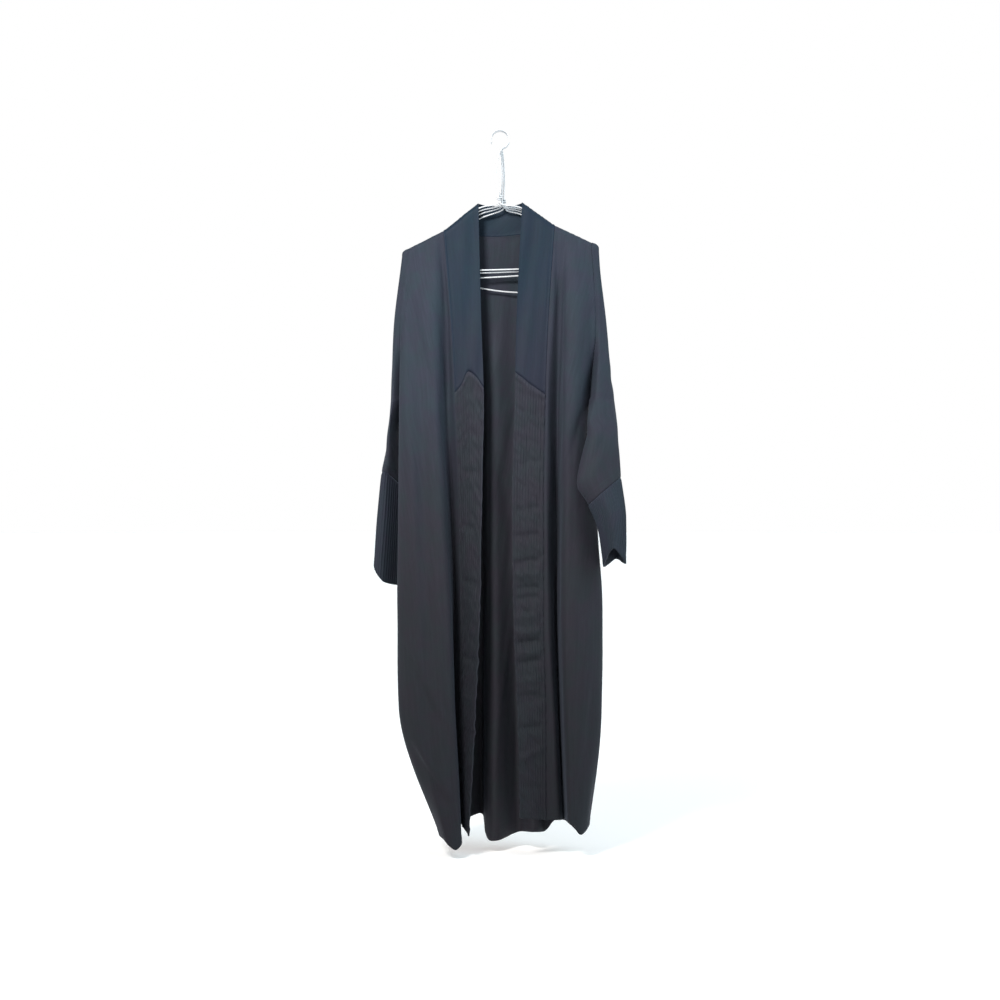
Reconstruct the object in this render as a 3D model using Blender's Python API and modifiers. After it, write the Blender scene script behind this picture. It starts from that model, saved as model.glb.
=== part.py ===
"""Open-fronted abaya cloak hanging on a bundle of four coated wire hangers.

Units are metres, +Z is up, +X is to the viewer's right and the front faces -Y.
The origin is where a rod bears in the hangers' hooks.  Tables hold millimetres.

Each cloth piece is a grid: columns run down the cloth and rows run across it.
A section table gives, for every fold line, where it passes each level.
"""
import math
from collections import namedtuple

import bmesh
import bpy
import numpy as np

MM = 0.001

# ---------------------------------------------------------------- driving sizes
CLOTH = 1.6 * MM             # wall of every cloth piece
SEAM_HALF = 0.16 * MM        # half of the gap at a seam
JOIN_HALF = 0.3 * MM         # half of the gap where tucked cloth meets smooth cloth
TIP_HALF = 0.45 * MM         # half of the gap where an armhole turns sharply
UNDERARM_HALF = 0.8 * MM     # half of the gap where side seam and armhole meet
SEAM_FLAT = 4.0 * MM         # cloth beside a seam lies flat for this far
TUCK_HEIGHT = 1.1 * MM       # pin-tucks stand this far above the wall
BAND_TUCKS = 11              # pin-tucks across a lower band
CUFF_TUCKS = 40              # pin-tucks round a cuff
ROLL_RADIUS = 15.5 * MM      # cloth rolling over the hanger arms
FOLD_STEPS = 3               # grid columns between two fold lines

WIRE_RADIUS = 1.6 * MM
HANGER_PITCH = 7.2 * MM      # front to back spacing of the hangers
NECK_DROP = 1.0 * MM         # the first arm starts this far below the neck's end
HOOK_RADIUS = 20 * MM        # centre line of the hook
HOOK_ANGLES = range(200, -81, -28)    # degrees round the hook, from its open end
NECK_TOP_Z = -52 * MM        # the hook runs into the neck here
NECK_BOW_Z = -100 * MM       # the neck bows sideways here
NECK_STRAIGHT = 30 * MM      # straight end of the neck above the arms
WRAP_STEPS = 14              # eighths of a turn that the wire end wraps round the neck
WRAP_CLEAR = 0.4 * MM        # gap between the wrap and the neck
WRAP_RISE = 9 * MM           # the wrap starts this far above the arms
WRAP_PITCH = 2.3             # rise of one turn of the wrap, in wire radii
BAR_SHARES = (0.25, 0.5, 0.75)        # points along the bar
TIP_WIDTH = 0.8              # half-width of a hanger's rounded end, as a share of its half-height

# Heights of the levels that the section tables use, as Z in millimetres
LEVELS = {"chest": -432, "underarm": -585, "hip": -802, "thigh": -1063, "calf": -1250, "hem": -1520}

# Rows of every column: shares of the way from the shoulder roll to the underarm,
# then of the way from the underarm to the hem
UPPER_ROWS = (0.12, 0.3, 0.52, 0.76, 1.0)
LOWER_ROWS = (0.16, 0.33, 0.5, 0.67, 0.84, 1.0)
ROLL_ROWS = (0, 34, 62, 86)  # degrees round the shoulder roll
ROLL_FLAT = 3.0 * MM         # flat top of the roll, either side of the shoulder seam
FLAT_DROP = 4                # row spacing in millimetres where the back's neck seam has no roll

# Shoulder ridge, from the band's inner edge past its outer edge to the hanger tip
Ridge = namedtuple("Ridge", "inner outer tip")
RIDGE = {
    "left": Ridge(inner=(-47, -158), outer=(-122, -218), tip=(-197, -256)),
    "right": Ridge(inner=(48, -156), outer=(118, -206), tip=(199, -244)),
}

# ---------------------------------------------------------------- section tables
# Each level holds (x, y); hem_z is where the fold line ends.
Fold = namedtuple("Fold", "name hem_z chest underarm hip thigh calf hem")

BAND = {
    "left": (
        Fold("outer", -1498, (-105, -22), (-97, -24), (-89, -16), (-85, -10), (-87, -8), (-88, -4)),
        Fold("inner", -1524, (-40, -26), (-35, -34), (-39, -52), (-44, -58), (-52, -62), (-67, -64)),
    ),
    "right": (
        Fold("outer", -1493, (103, -24), (97, -30), (93, -44), (93, -46), (98, -44), (99, -40)),
        Fold("inner", -1486, (35, -26), (32, -34), (26, -42), (29, -48), (37, -54), (44, -60)),
    ),
}
# Height of the join between smooth and tucked band, across it from outer to inner edge
BAND_JOIN = {"left": (-570, -552, -524, -536, -560), "right": (-574, -563, -551, -539, -527)}

FRONT = {
    "left": (
        Fold("band_seam", -1498, (-105, -22), (-97, -24), (-89, -16), (-85, -10), (-87, -8), (-88, -4)),
        Fold("valley", -1530, (-117, -18), (-117, -12), (-107, 2), (-102, 10), (-104, 12), (-98, 14)),
        Fold("fold_edge", -1536, (-137, -41), (-133, -52), (-120, -54), (-105, -62), (-97, -64), (-82, -68)),
        Fold("fold_crest", -1551, (-158, -44), (-150, -57), (-137, -65), (-124, -75), (-120, -78), (-94, -84)),
        Fold("trough", -1542, (-185, -32), (-170, -50), (-163, -60), (-154, -70), (-155, -74), (-109, -84)),
        Fold("ridge", -1531, (-203, -28), (-198, -50), (-191, -64), (-182, -70), (-184, -70), (-118, -72)),
        Fold("side_turn", -1527, (-209, -24), (-216, -34), (-218, -38), (-220, -36), (-217, -36), (-130, -40)),
        Fold("side_seam", -1531, (-218, -18), (-213, 6), (-213, 8), (-214, 10), (-209, 11), (-124, 16)),
    ),
    "right": (
        Fold("band_seam", -1493, (103, -24), (97, -30), (93, -44), (93, -46), (98, -44), (99, -40)),
        Fold("strip_turn", -1492, (113, -24), (106, -31), (104, -43), (108, -45), (117, -46), (130, -46)),
        Fold("valley", -1498, (130, -18), (126, -8), (124, 0), (124, 6), (128, 6), (139, 4)),
        Fold("fold_edge", -1493, (141, -42), (138, -52), (138, -60), (134, -66), (139, -70), (147, -72)),
        Fold("fold_crest", -1504, (162, -47), (158, -58), (159, -66), (159, -75), (158, -80), (158, -82)),
        Fold("fold_side", -1519, (184, -38), (176, -46), (184, -50), (193, -64), (190, -70), (174, -78)),
        Fold("side_turn", -1504, (200, -24), (188, -22), (204, -24), (220, -34), (219, -36), (190, -44)),
        Fold("side_seam", -1505, (208, -18), (196, 6), (206, 10), (219, 10), (214, 12), (188, 16)),
    ),
}

BACK = (
    Fold("left_seam", -1531, (-218, 18), (-213, 6), (-213, 8), (-214, 10), (-209, 11), (-124, 16)),
    Fold("left_turn", -1531, (-208, 26), (-211, 32), (-212, 40), (-212, 48), (-207, 54), (-130, 60)),
    Fold("left_crest", -1528, (-186, 30), (-190, 44), (-190, 60), (-188, 72), (-184, 80), (-128, 92)),
    Fold("left_trough", -1522, (-158, 24), (-162, 30), (-160, 36), (-158, 36), (-150, 38), (-108, 40)),
    Fold("blade_crest", -1506, (-124, 30), (-128, 44), (-126, 60), (-122, 72), (-116, 82), (-88, 92)),
    Fold("inner_trough", -1499, (-92, 26), (-94, 34), (-92, 42), (-88, 46), (-84, 50), (-68, 56)),
    Fold("gap_crest", -1499, (-48, 32), (-48, 46), (-44, 62), (-42, 76), (-42, 88), (-38, 98)),
    Fold("centre_edge", -1541, (-26, 27), (-27, 30), (-27, 35), (-27, 39), (-28, 40), (-28, 36)),
    Fold("centre_fold", -1546, (-4, 24), (-6, 24), (-8, 26), (-6, 26), (-4, 24), (-6, 22)),
    Fold("gap_crest_2", -1537, (36, 32), (34, 46), (32, 62), (34, 74), (34, 84), (40, 92)),
    Fold("outer_trough", -1532, (74, 26), (74, 32), (72, 40), (72, 44), (72, 48), (74, 52)),
    Fold("blade_crest_2", -1534, (112, 31), (110, 46), (108, 60), (108, 72), (108, 82), (101, 92)),
    Fold("right_trough", -1502, (150, 25), (146, 32), (144, 38), (144, 40), (140, 42), (122, 44)),
    Fold("right_crest", -1506, (182, 29), (180, 42), (184, 58), (186, 68), (180, 78), (166, 86)),
    Fold("right_turn", -1505, (200, 26), (194, 30), (206, 36), (217, 44), (213, 50), (190, 58)),
    Fold("right_seam", -1505, (208, 18), (196, 6), (206, 10), (219, 10), (214, 12), (188, 16)),
)
NECK_FOLDS = (4, 11)         # the fold lines of the back that end on the neck seam
# Neck seam on the back: (x, y, z) from the left shoulder to the right one
NECK_SEAM = ((-122, 0, -218), (-111, 12, -221), (-84, 19, -224), (0, 23, -227),
             (81, 19, -217), (107, 12, -210), (118, 0, -206))
NECK_TOP = ((-47, 0, -158), (-42, 12, -158), (-30, 21, -159), (0, 26, -161),
            (30, 21, -159), (43, 12, -157), (48, 0, -156))

# Sleeve sections, one a row: the four corners of the flattened tube in (x, y, z).
# inner is the underarm seam, outer the top line, front and back the two faces.
Section = namedtuple("Section", "name inner front outer back")
SLEEVE = {
    "left": (
        Section("chest", (-218, 0, -432), (-227, -11, -432), (-231, 0, -432), (-227, 11, -432)),
        Section("underarm", (-217, 6, -585), (-232, -20, -585), (-237, 8, -585), (-229, 36, -585)),
        Section("bicep", (-219, 36, -640), (-238, -10, -636), (-241, 16, -634), (-235, 58, -638)),
        Section("elbow", (-208, 68, -705), (-240, -2, -695), (-248, 26, -688), (-232, 84, -698)),
        Section("cuff_seam", (-191, 100, -800), (-245, 10, -768), (-257, 40, -750), (-227, 106, -778)),
        Section("cuff_middle", (-198, 100, -895), (-250, 8, -870), (-267, 36, -845), (-236, 108, -878)),
        Section("opening", (-200, 98, -992), (-254, 8, -980), (-274, 34, -944), (-238, 108, -975)),
    ),
    "right": (
        Section("chest", (208, 0, -432), (219, -17, -432), (231, 0, -432), (221, 16, -432)),
        Section("underarm", (202, 5, -585), (206, -52, -585), (245, -24, -585), (233, 20, -585)),
        Section("bicep", (196, -48, -640), (193, -90, -632), (249, -54, -622), (236, -8, -632)),
        Section("elbow", (180, -88, -690), (206, -114, -676), (252, -74, -662), (234, -34, -676)),
        Section("corner", (164, -100, -766), (203, -126, -742), (255, -86, -718), (230, -52, -742)),
        Section("cuff_seam", (190, -86, -813), (214, -128, -785), (257, -92, -755), (236, -46, -785)),
        Section("cuff_middle", (212, -68, -866), (236, -132, -848), (268, -94, -842), (250, -30, -856)),
        Section("opening", (224, -42, -946), (240, -126, -905), (268, -92, -938), (251, -16, -930)),
    ),
}

# One hanger a row; left and right hold its arm's height at each of ARM_PLACES and at its tip.
Hanger = namedtuple("Hanger", "name neck_x bow apex left right reach bar_drop sag sag_x wrap_lift")
ARM_PLACES = (48, 115)
HANGERS = (
    Hanger("hanger_1", -3, -11, -160, (-167, -221, -261), (-166, -213, -250), 194, 44, 3, 0, 0),
    Hanger("hanger_2", 1, 2, -164, (-173, -222, -264), (-169, -213, -249), 193, 48, 3, 0, 9),
    Hanger("hanger_3", 4, 7, -167, (-180, -228, -269), (-173, -217, -251), 192, 50, 7, -30, 0),
    Hanger("hanger_4", 8, 10, -171, (-189, -239, -274), (-179, -223, -254), 189, 45, 45, 80, 9),
)


# ---------------------------------------------------------------- curve helpers
def slopes(knots, values):
    """Slopes of a smooth curve that never overshoots its knots."""
    step = np.diff(knots)[:, None]
    rise = np.diff(values, axis=0) / step
    slope = np.zeros_like(values)
    slope[0], slope[-1] = rise[0], rise[-1]
    before, after = rise[:-1], rise[1:]
    same_way = before * after > 0
    total = np.where(same_way, before + after, 1.0)
    slope[1:-1] = np.where(same_way, 2 * before * after / total, 0.0)
    return slope


def through(knots, values, at):
    """Read a smooth curve through values at rising knots; values may be vectors."""
    knots = np.asarray(knots, float)
    values = np.asarray(values, float).reshape(len(knots), -1)
    slope = slopes(knots, values)
    at = np.clip(np.atleast_1d(at), knots[0], knots[-1])
    cell = np.clip(np.searchsorted(knots, at) - 1, 0, len(knots) - 2)
    width = (knots[cell + 1] - knots[cell])[:, None]
    t = ((at - knots[cell])[:, None]) / width
    start = (1 + 2 * t) * (1 - t) ** 2 * values[cell] + t * (1 - t) ** 2 * width * slope[cell]
    finish = t * t * (3 - 2 * t) * values[cell + 1] + t * t * (t - 1) * width * slope[cell + 1]
    return start + finish


def rounded(points, steps, closed=False):
    """Points of a rounded line through the given ones, steps to each stretch."""
    points = np.asarray(points, float)
    if closed:
        framed = np.vstack([points[-1], points, points[0], points[1]])
        stretches = len(points)
    else:
        framed = np.vstack([2 * points[0] - points[1], points, 2 * points[-1] - points[-2]])
        stretches = len(points) - 1
    line = []
    for index in range(stretches):
        a, b, c, d = framed[index:index + 4]
        for step in range(steps):
            t = step / steps
            line.append(0.5 * (2 * b + (c - a) * t + (2 * a - 5 * b + 4 * c - d) * t * t
                               + (3 * b - a - 3 * c + d) * t ** 3))
    line.append(points[0] if closed else points[-1])
    return np.array(line)


def even(line, count):
    """Points spread evenly along a line, count stretches in all."""
    length = np.concatenate([[0], np.cumsum(np.linalg.norm(np.diff(line, axis=0), axis=1))])
    want = np.linspace(0, length[-1], count + 1)
    return np.stack([np.interp(want, length, line[:, axis]) for axis in range(3)], axis=1)


def unit(vectors):
    """Vectors at length one."""
    return vectors / np.maximum(np.linalg.norm(vectors, axis=-1, keepdims=True), 1e-12)


# ---------------------------------------------------------------- cloth columns
def section_lines(folds, steps):
    """Rounded line across the cloth at each level, with the height where it ends."""
    ends = rounded([(fold.hem_z, 0, 0) for fold in folds], steps)[:, 0]
    lines = [rounded([(*getattr(fold, level), 0) for fold in folds], steps)[:, :2] for level in LEVELS]
    return np.array(lines), ends


def hanging_column(top, facing, passes, split_z, end_z, roll=1.0):
    """One column: over the shoulder roll, down to split_z, then down to end_z.

    top is the point on the ridge, facing -1 for the front and +1 for the back,
    passes the column's (x, y) at each level, and roll the share of the full roll.
    """
    flat = ROLL_FLAT * roll / MM
    radius = ROLL_RADIUS * roll / MM - flat
    angles = np.radians([0, *ROLL_ROWS])
    flats = np.array([0] + [flat] * len(ROLL_ROWS))
    roll_z = top[2] - radius * (1 - np.cos(angles)) - (1 - roll) * FLAT_DROP * np.arange(len(angles))
    roll_y = top[1] + facing * (flats + radius * np.sin(angles))
    start_z = roll_z[-1]
    upper_z = start_z + (split_z - start_z) * np.array(UPPER_ROWS)
    lower_z = split_z + (end_z - split_z) * np.array(LOWER_ROWS)
    heights = np.concatenate([roll_z, upper_z, lower_z])
    levels = -np.array(list(LEVELS.values()), float)
    levels[-1] = max(levels[-1], -end_z)
    passes = np.asarray(passes)
    across = through([-top[2], *levels], [top[0], *passes[:, 0]], -heights)[:, 0]
    depth = through([-start_z, *levels], [roll_y[-1], *passes[:, 1]], -heights)[:, 0]
    depth[:len(angles)] = roll_y
    return np.stack([across, depth, heights], axis=1) * MM


def ridge_point(side, share):
    """Point on the shoulder ridge: 0 at the band's inner edge, 1 outer, 2 at the tip."""
    ridge = RIDGE[side]
    start, finish = (ridge.inner, ridge.outer) if share <= 1 else (ridge.outer, ridge.tip)
    part = share if share <= 1 else share - 1
    x = start[0] + (finish[0] - start[0]) * part
    z = start[1] + (finish[1] - start[1]) * part
    return x, 0.0, z


def front_grid(side):
    """Front panel from the band seam (first column) to the side (last column)."""
    lines, ends = section_lines(FRONT[side], FOLD_STEPS)
    count = lines.shape[1]
    columns = []
    for index in range(count):
        share = index / (count - 1)
        split = BAND_JOIN[side][0] + (LEVELS["underarm"] - BAND_JOIN[side][0]) * share
        top = ridge_point(side, 1 + share)
        columns.append(hanging_column(top, -1, lines[:, index], split, ends[index]))
    return np.array(columns)


def band_grid(side):
    """Whole front band from its outer seam (first column) to its free inner edge."""
    steps = 2 * BAND_TUCKS
    lines, ends = section_lines(BAND[side], steps)
    join = through(np.linspace(0, 1, len(BAND_JOIN[side])), BAND_JOIN[side], np.linspace(0, 1, steps + 1))
    columns = []
    for index in range(steps + 1):
        top = ridge_point(side, 1 - index / steps)
        columns.append(hanging_column(top, -1, lines[:, index], join[index, 0], ends[index]))
    return np.array(columns)


def back_grid():
    """Back panel from the left side (first column) to the right side (last column)."""
    lines, ends = section_lines(BACK, FOLD_STEPS)
    count = lines.shape[1]
    neck_first, neck_last = (fold * FOLD_STEPS for fold in NECK_FOLDS)
    neck = even(rounded(NECK_SEAM, 6), neck_last - neck_first)
    columns = []
    for index in range(count):
        if index <= neck_first:
            top, roll = ridge_point("left", 2 - index / neck_first), 1.0
        elif index >= neck_last:
            top, roll = ridge_point("right", 1 + (index - neck_last) / (count - 1 - neck_last)), 1.0
        else:
            top = neck[index - neck_first]
            roll = max(0.0, 1 - top[1] / (ROLL_RADIUS / MM))
        columns.append(hanging_column(top, 1, lines[:, index], LEVELS["underarm"], ends[index], roll))
    return np.array(columns)


def neck_band_grid():
    """Back-neck band: columns from the left shoulder to the right, rows from seam to top."""
    length, height = (NECK_FOLDS[1] - NECK_FOLDS[0]) * FOLD_STEPS, 6
    seam = even(rounded(NECK_SEAM, 6), length)
    top = even(rounded(NECK_TOP, 6), length)
    shares = np.linspace(0, 1, height + 1)[None, :, None]
    return (seam[:, None] * (1 - shares) + top[:, None] * shares) * MM


# ---------------------------------------------------------------- sleeves
CAP_START = 3.0 * MM         # the sleeve cap's point lies this far past the shoulder seam
CAP_DROP = 1.2 * MM          # and this far below it
CAP_BULGE = 14               # the cap stands out this many millimetres past the tip
CAP_HALF_WIDTH = 9           # half its depth, front to back, in millimetres
CAP_SLOPE = 0.7              # how steeply its first rows fall away from the seam
CAP_ANGLES = (0, 28, 42, 63, 86, 90)  # degrees round the cap, row by row
SLEEVE_STEPS = 4             # grid columns between two corners of a sleeve
TUBE_ROWS = 6                # grid rows from the underarm to the cuff
CUFF_ROWS = 3                # grid rows along the cuff
ROWS_TO_UNDERARM = len(ROLL_ROWS) + len(UPPER_ROWS) + 1


def corner_paths(side, first, last, count):
    """The sleeve's four corners at count + 1 places from one named section to another."""
    rows = [row for row in SLEEVE[side] if row.name != "chest"]
    names = [row.name for row in rows]
    corners = np.array([row[1:] for row in rows], float).reshape(len(rows), -1)
    places = np.linspace(names.index(first), names.index(last), count + 1)
    return through(np.arange(len(rows)), corners, places).reshape(count + 1, 4, 3)


def sleeve_grid(side, front_edge, back_edge):
    """Sleeve from its shoulder cap to the cuff seam; its edges follow the armhole."""
    rows = []
    tip = RIDGE[side].tip
    sign = -1 if side == "left" else 1
    chest, underarm = (np.array(row[1:], float) for row in SLEEVE[side][:2])
    for index in range(ROWS_TO_UNDERARM - 1):
        front, back = front_edge[index] / MM, back_edge[index] / MM
        height = front[2]
        swell = math.sin(math.radians(CAP_ANGLES[min(index, len(CAP_ANGLES) - 1)]))
        droop = CAP_SLOPE * CAP_BULGE * swell * (1 - swell)
        cap = np.array([(tip[0] + sign * CAP_BULGE * swell, y * swell, height - droop)
                        for y in (-CAP_HALF_WIDTH, 0, CAP_HALF_WIDTH)])
        cap_z = tip[1] - ROLL_RADIUS / MM
        if height < cap_z:
            knots = [-cap_z, -LEVELS["chest"], -LEVELS["underarm"]]
            paths = [cap, chest[1:], underarm[1:]]
            values = np.array([np.asarray(path).ravel() for path in paths])
            cap = through(knots, values, -height).reshape(3, 3)
            cap[:, 2] = height
        rows.append(rounded([front, cap[0], cap[1], cap[2], back], SLEEVE_STEPS))
    lower = corner_paths(side, "underarm", "cuff_seam", TUBE_ROWS)
    rows += [rounded(corners, SLEEVE_STEPS, closed=True) for corners in lower]
    rows[-1], up = flat_ring(rows[-1], side, "cuff_seam")
    rows[-1] = rows[-1] + up * JOIN_HALF / MM
    return np.array(rows).transpose(1, 0, 2) * MM


def flat_ring(ring, side, name):
    """The ring moved up or down into the flat plane of the named section."""
    section = next(row for row in SLEEVE[side] if row.name == name)
    inner, outer = np.array(section.inner, float), np.array(section.outer, float)
    run = (outer - inner)[:2]
    share = (ring[:, :2] - inner[:2]) @ run / (run @ run)
    level = ring.copy()
    level[:, 2] = inner[2] + (outer[2] - inner[2]) * share
    tilt = np.array([*(-(outer[2] - inner[2]) / (run @ run) * run), 1.0])
    return level, tilt / np.linalg.norm(tilt)


def cuff_grid(side):
    """Cuff from its seam to its opening, its columns spread evenly round it."""
    loops = corner_paths(side, "cuff_seam", "opening", CUFF_ROWS)
    rows = [even(rounded(corners, 12, closed=True), 2 * CUFF_TUCKS) for corners in loops]
    rows[0], up = flat_ring(rows[0], side, "cuff_seam")
    rows[0] = rows[0] - up * JOIN_HALF / MM
    return np.array(rows).transpose(1, 0, 2) * MM


# ---------------------------------------------------------------- seams
def with_spares(grid):
    """The grid with a spare column beside each sewn edge, to lie flat along it."""
    start = 0.6 * grid[:1] + 0.4 * grid[1:2]
    finish = 0.4 * grid[-2:-1] + 0.6 * grid[-1:]
    return np.concatenate([grid[:1], start, grid[1:-1], finish, grid[-1:]])


def sew(first, second, gap=SEAM_HALF):
    """Lay first's last columns and second's first columns flat beside their seam."""
    seam = (first[-1] + second[0]) / 2
    along = unit(second[2] - first[-3])
    gap = np.broadcast_to(gap, len(seam))[:, None]
    before = np.minimum(SEAM_FLAT, 0.45 * np.linalg.norm(seam - first[-3], axis=1))[:, None]
    after = np.minimum(SEAM_FLAT, 0.45 * np.linalg.norm(second[2] - seam, axis=1))[:, None]
    first[-2], first[-1] = seam - before * along, seam - gap * along
    second[0], second[1] = seam + gap * along, seam + after * along


def part_rows(upper, lower):
    """Open the gap between an upper and a lower length that end on the same row."""
    join = upper[:, -1].copy()
    across = unit(np.gradient(join, axis=0))
    down = unit(lower[:, 1] - upper[:, -2])
    down = unit(down - across * np.sum(down * across, axis=1)[:, None])
    upper[:, -1] -= JOIN_HALF * down
    lower[:, 0] += JOIN_HALF * down


# ---------------------------------------------------------------- solids
def material(name, colour, roughness, metallic=0.0):
    """Principled material of one cloth or wire."""
    made = bpy.data.materials.new(name)
    made.use_nodes = True
    shader = made.node_tree.nodes["Principled BSDF"]
    shader.inputs["Base Color"].default_value = (*colour, 1)
    shader.inputs["Roughness"].default_value = roughness
    shader.inputs["Metallic"].default_value = metallic
    return made


def grid_faces(columns, rows, closed_from, point):
    """Quads of a grid; rows from closed_from on close round, point is a row of one point."""
    def corner(column, row):
        if row == point:
            return row
        if closed_from is not None and row >= closed_from and column == columns - 1:
            column = 0
        return column * rows + row

    faces = []
    for column in range(columns - 1):
        for row in range(rows - 1):
            ring = [corner(column, row), corner(column + 1, row),
                    corner(column + 1, row + 1), corner(column, row + 1)]
            kept = [index for place, index in enumerate(ring) if index != ring[place - 1]]
            faces.append(kept)
    return faces


def wall(name, grid, look, collection, closed_from=None, point=None, flip=False, tucks=None):
    """Solid wall of cloth on a grid of (column, row) points.

    tucks gives, for each column, how far its outer face stands proud, from 0 to 1;
    the inside stays plain.
    """
    columns, rows = grid.shape[:2]
    faces = grid_faces(columns, rows, closed_from, point)
    if flip:
        faces = [face[::-1] for face in faces]
    mesh = bpy.data.meshes.new(name)
    mesh.from_pydata(grid.reshape(-1, 3).tolist(), [], faces)
    loose = [vertex.index for vertex in mesh.vertices]
    used = {index for face in faces for index in face}
    drop_points(mesh, [index for index in loose if index not in used])
    mesh.materials.append(look)
    cloth = bpy.data.objects.new(name, mesh)
    collection.objects.link(cloth)
    shell = cloth.modifiers.new("wall", "SOLIDIFY")
    shell.thickness = CLOTH
    shell.offset = 0
    if tucks is not None:
        raise_tucks(cloth, shell, tucks, rows, columns, closed_from is not None)
    mesh.shade_smooth()
    return cloth


def drop_points(mesh, unused):
    """Remove grid points that no face uses."""
    if not unused:
        return
    cage = bmesh.new()
    cage.from_mesh(mesh)
    cage.verts.ensure_lookup_table()
    bmesh.ops.delete(cage, geom=[cage.verts[index] for index in unused], context="VERTS")
    cage.to_mesh(mesh)
    cage.free()


def raise_tucks(cloth, shell, tucks, rows, columns, closed):
    """Thicken the wall outwards along the tucked columns."""
    mesh = cloth.data
    inward = [vertex.co - vertex.normal * CLOTH / 2 for vertex in mesh.vertices]
    for vertex, place in zip(mesh.vertices, inward):
        vertex.co = place
    full = CLOTH + TUCK_HEIGHT
    group = cloth.vertex_groups.new(name="tucks")
    for column in range(columns - 1 if closed else columns):
        height = (CLOTH + TUCK_HEIGHT * tucks[column]) / full
        group.add(range(column * rows, (column + 1) * rows), height, "REPLACE")
    shell.thickness = full
    shell.offset = 1
    shell.vertex_group = group.name


# ---------------------------------------------------------------- hangers
def hanger_route(row, index):
    """Centre line of one hanger: hook, neck, arm, bar, arm and a wrap round the neck."""
    depth = (index - (len(HANGERS) - 1) / 2) * HANGER_PITCH
    centre = -HOOK_RADIUS + WIRE_RADIUS
    route = []
    for angle in HOOK_ANGLES:
        turn = math.radians(angle)
        route.append((HOOK_RADIUS * math.cos(turn), centre + HOOK_RADIUS * math.sin(turn)))
    apex = row.apex * MM
    neck = row.neck_x * MM
    bow = row.bow * MM
    route += [(neck * 0.6 + bow * 0.2, NECK_TOP_Z), (bow, NECK_BOW_Z), (neck, apex + NECK_STRAIGHT),
              (neck, apex + NECK_STRAIGHT / 5)]
    reach = row.reach * MM
    drop = row.bar_drop * MM
    left_tip, right_tip = row.left[-1] * MM, row.right[-1] * MM
    route.append((neck - NECK_STRAIGHT / 10, apex - NECK_DROP))
    route += [(-place * MM, height * MM) for place, height in zip(ARM_PLACES, row.left)]
    route += bent_tip(-1, reach, left_tip, drop)
    left_bar, right_bar = left_tip - drop, right_tip - drop
    for share in BAR_SHARES:
        x = -reach + 2 * reach * share
        level = left_bar + (right_bar - left_bar) * share
        spread = 1 - min(1.0, abs(x - row.sag_x * MM) / (reach * 1.1)) ** 2
        route.append((x, level - row.sag * MM * spread))
    route += bent_tip(1, reach, right_tip, drop)[::-1]
    route += [(place * MM, height * MM) for place, height in zip(ARM_PLACES, row.right)][::-1]
    flat = [(x, depth, z) for x, z in route]
    beside = neck + 2 * WIRE_RADIUS + WRAP_CLEAR
    wrap_base = apex + WRAP_RISE + row.wrap_lift * MM
    flat.append((beside + 5 * MM, depth, apex - 2 * MM))
    flat.append((beside, depth, apex + 2 * MM))
    for step in range(WRAP_STEPS + 1):
        angle = 2 * math.pi * step / 8
        flat.append((neck + (beside - neck) * math.cos(angle), depth - (beside - neck) * math.sin(angle),
                     wrap_base + WRAP_PITCH * WIRE_RADIUS * step / 8))
    return flat


def bent_tip(sign, reach, tip_z, drop):
    """Rounded end of a hanger, from the arm to the bar, in (x, z)."""
    half = drop / 2
    middle = tip_z - half
    places = []
    for angle in (75, 35, -10, -50, -85):
        turn = math.radians(angle)
        across = reach - TIP_WIDTH * half * (1 - math.cos(turn))
        places.append((sign * across, middle + half * math.sin(turn)))
    return places


def hanger(row, index, look, collection):
    """One coated wire hanger as a bevelled curve."""
    route = hanger_route(row, index)
    curve = bpy.data.curves.new(row.name, "CURVE")
    curve.dimensions = "3D"
    curve.bevel_depth = WIRE_RADIUS
    curve.bevel_resolution = 2
    curve.use_fill_caps = True
    spline = curve.splines.new("POLY")
    spline.points.add(len(route) - 1)
    for point, place in zip(spline.points, route):
        point.co = (*place, 1)
    curve.materials.append(look)
    wire = bpy.data.objects.new(row.name, curve)
    collection.objects.link(wire)


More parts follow.
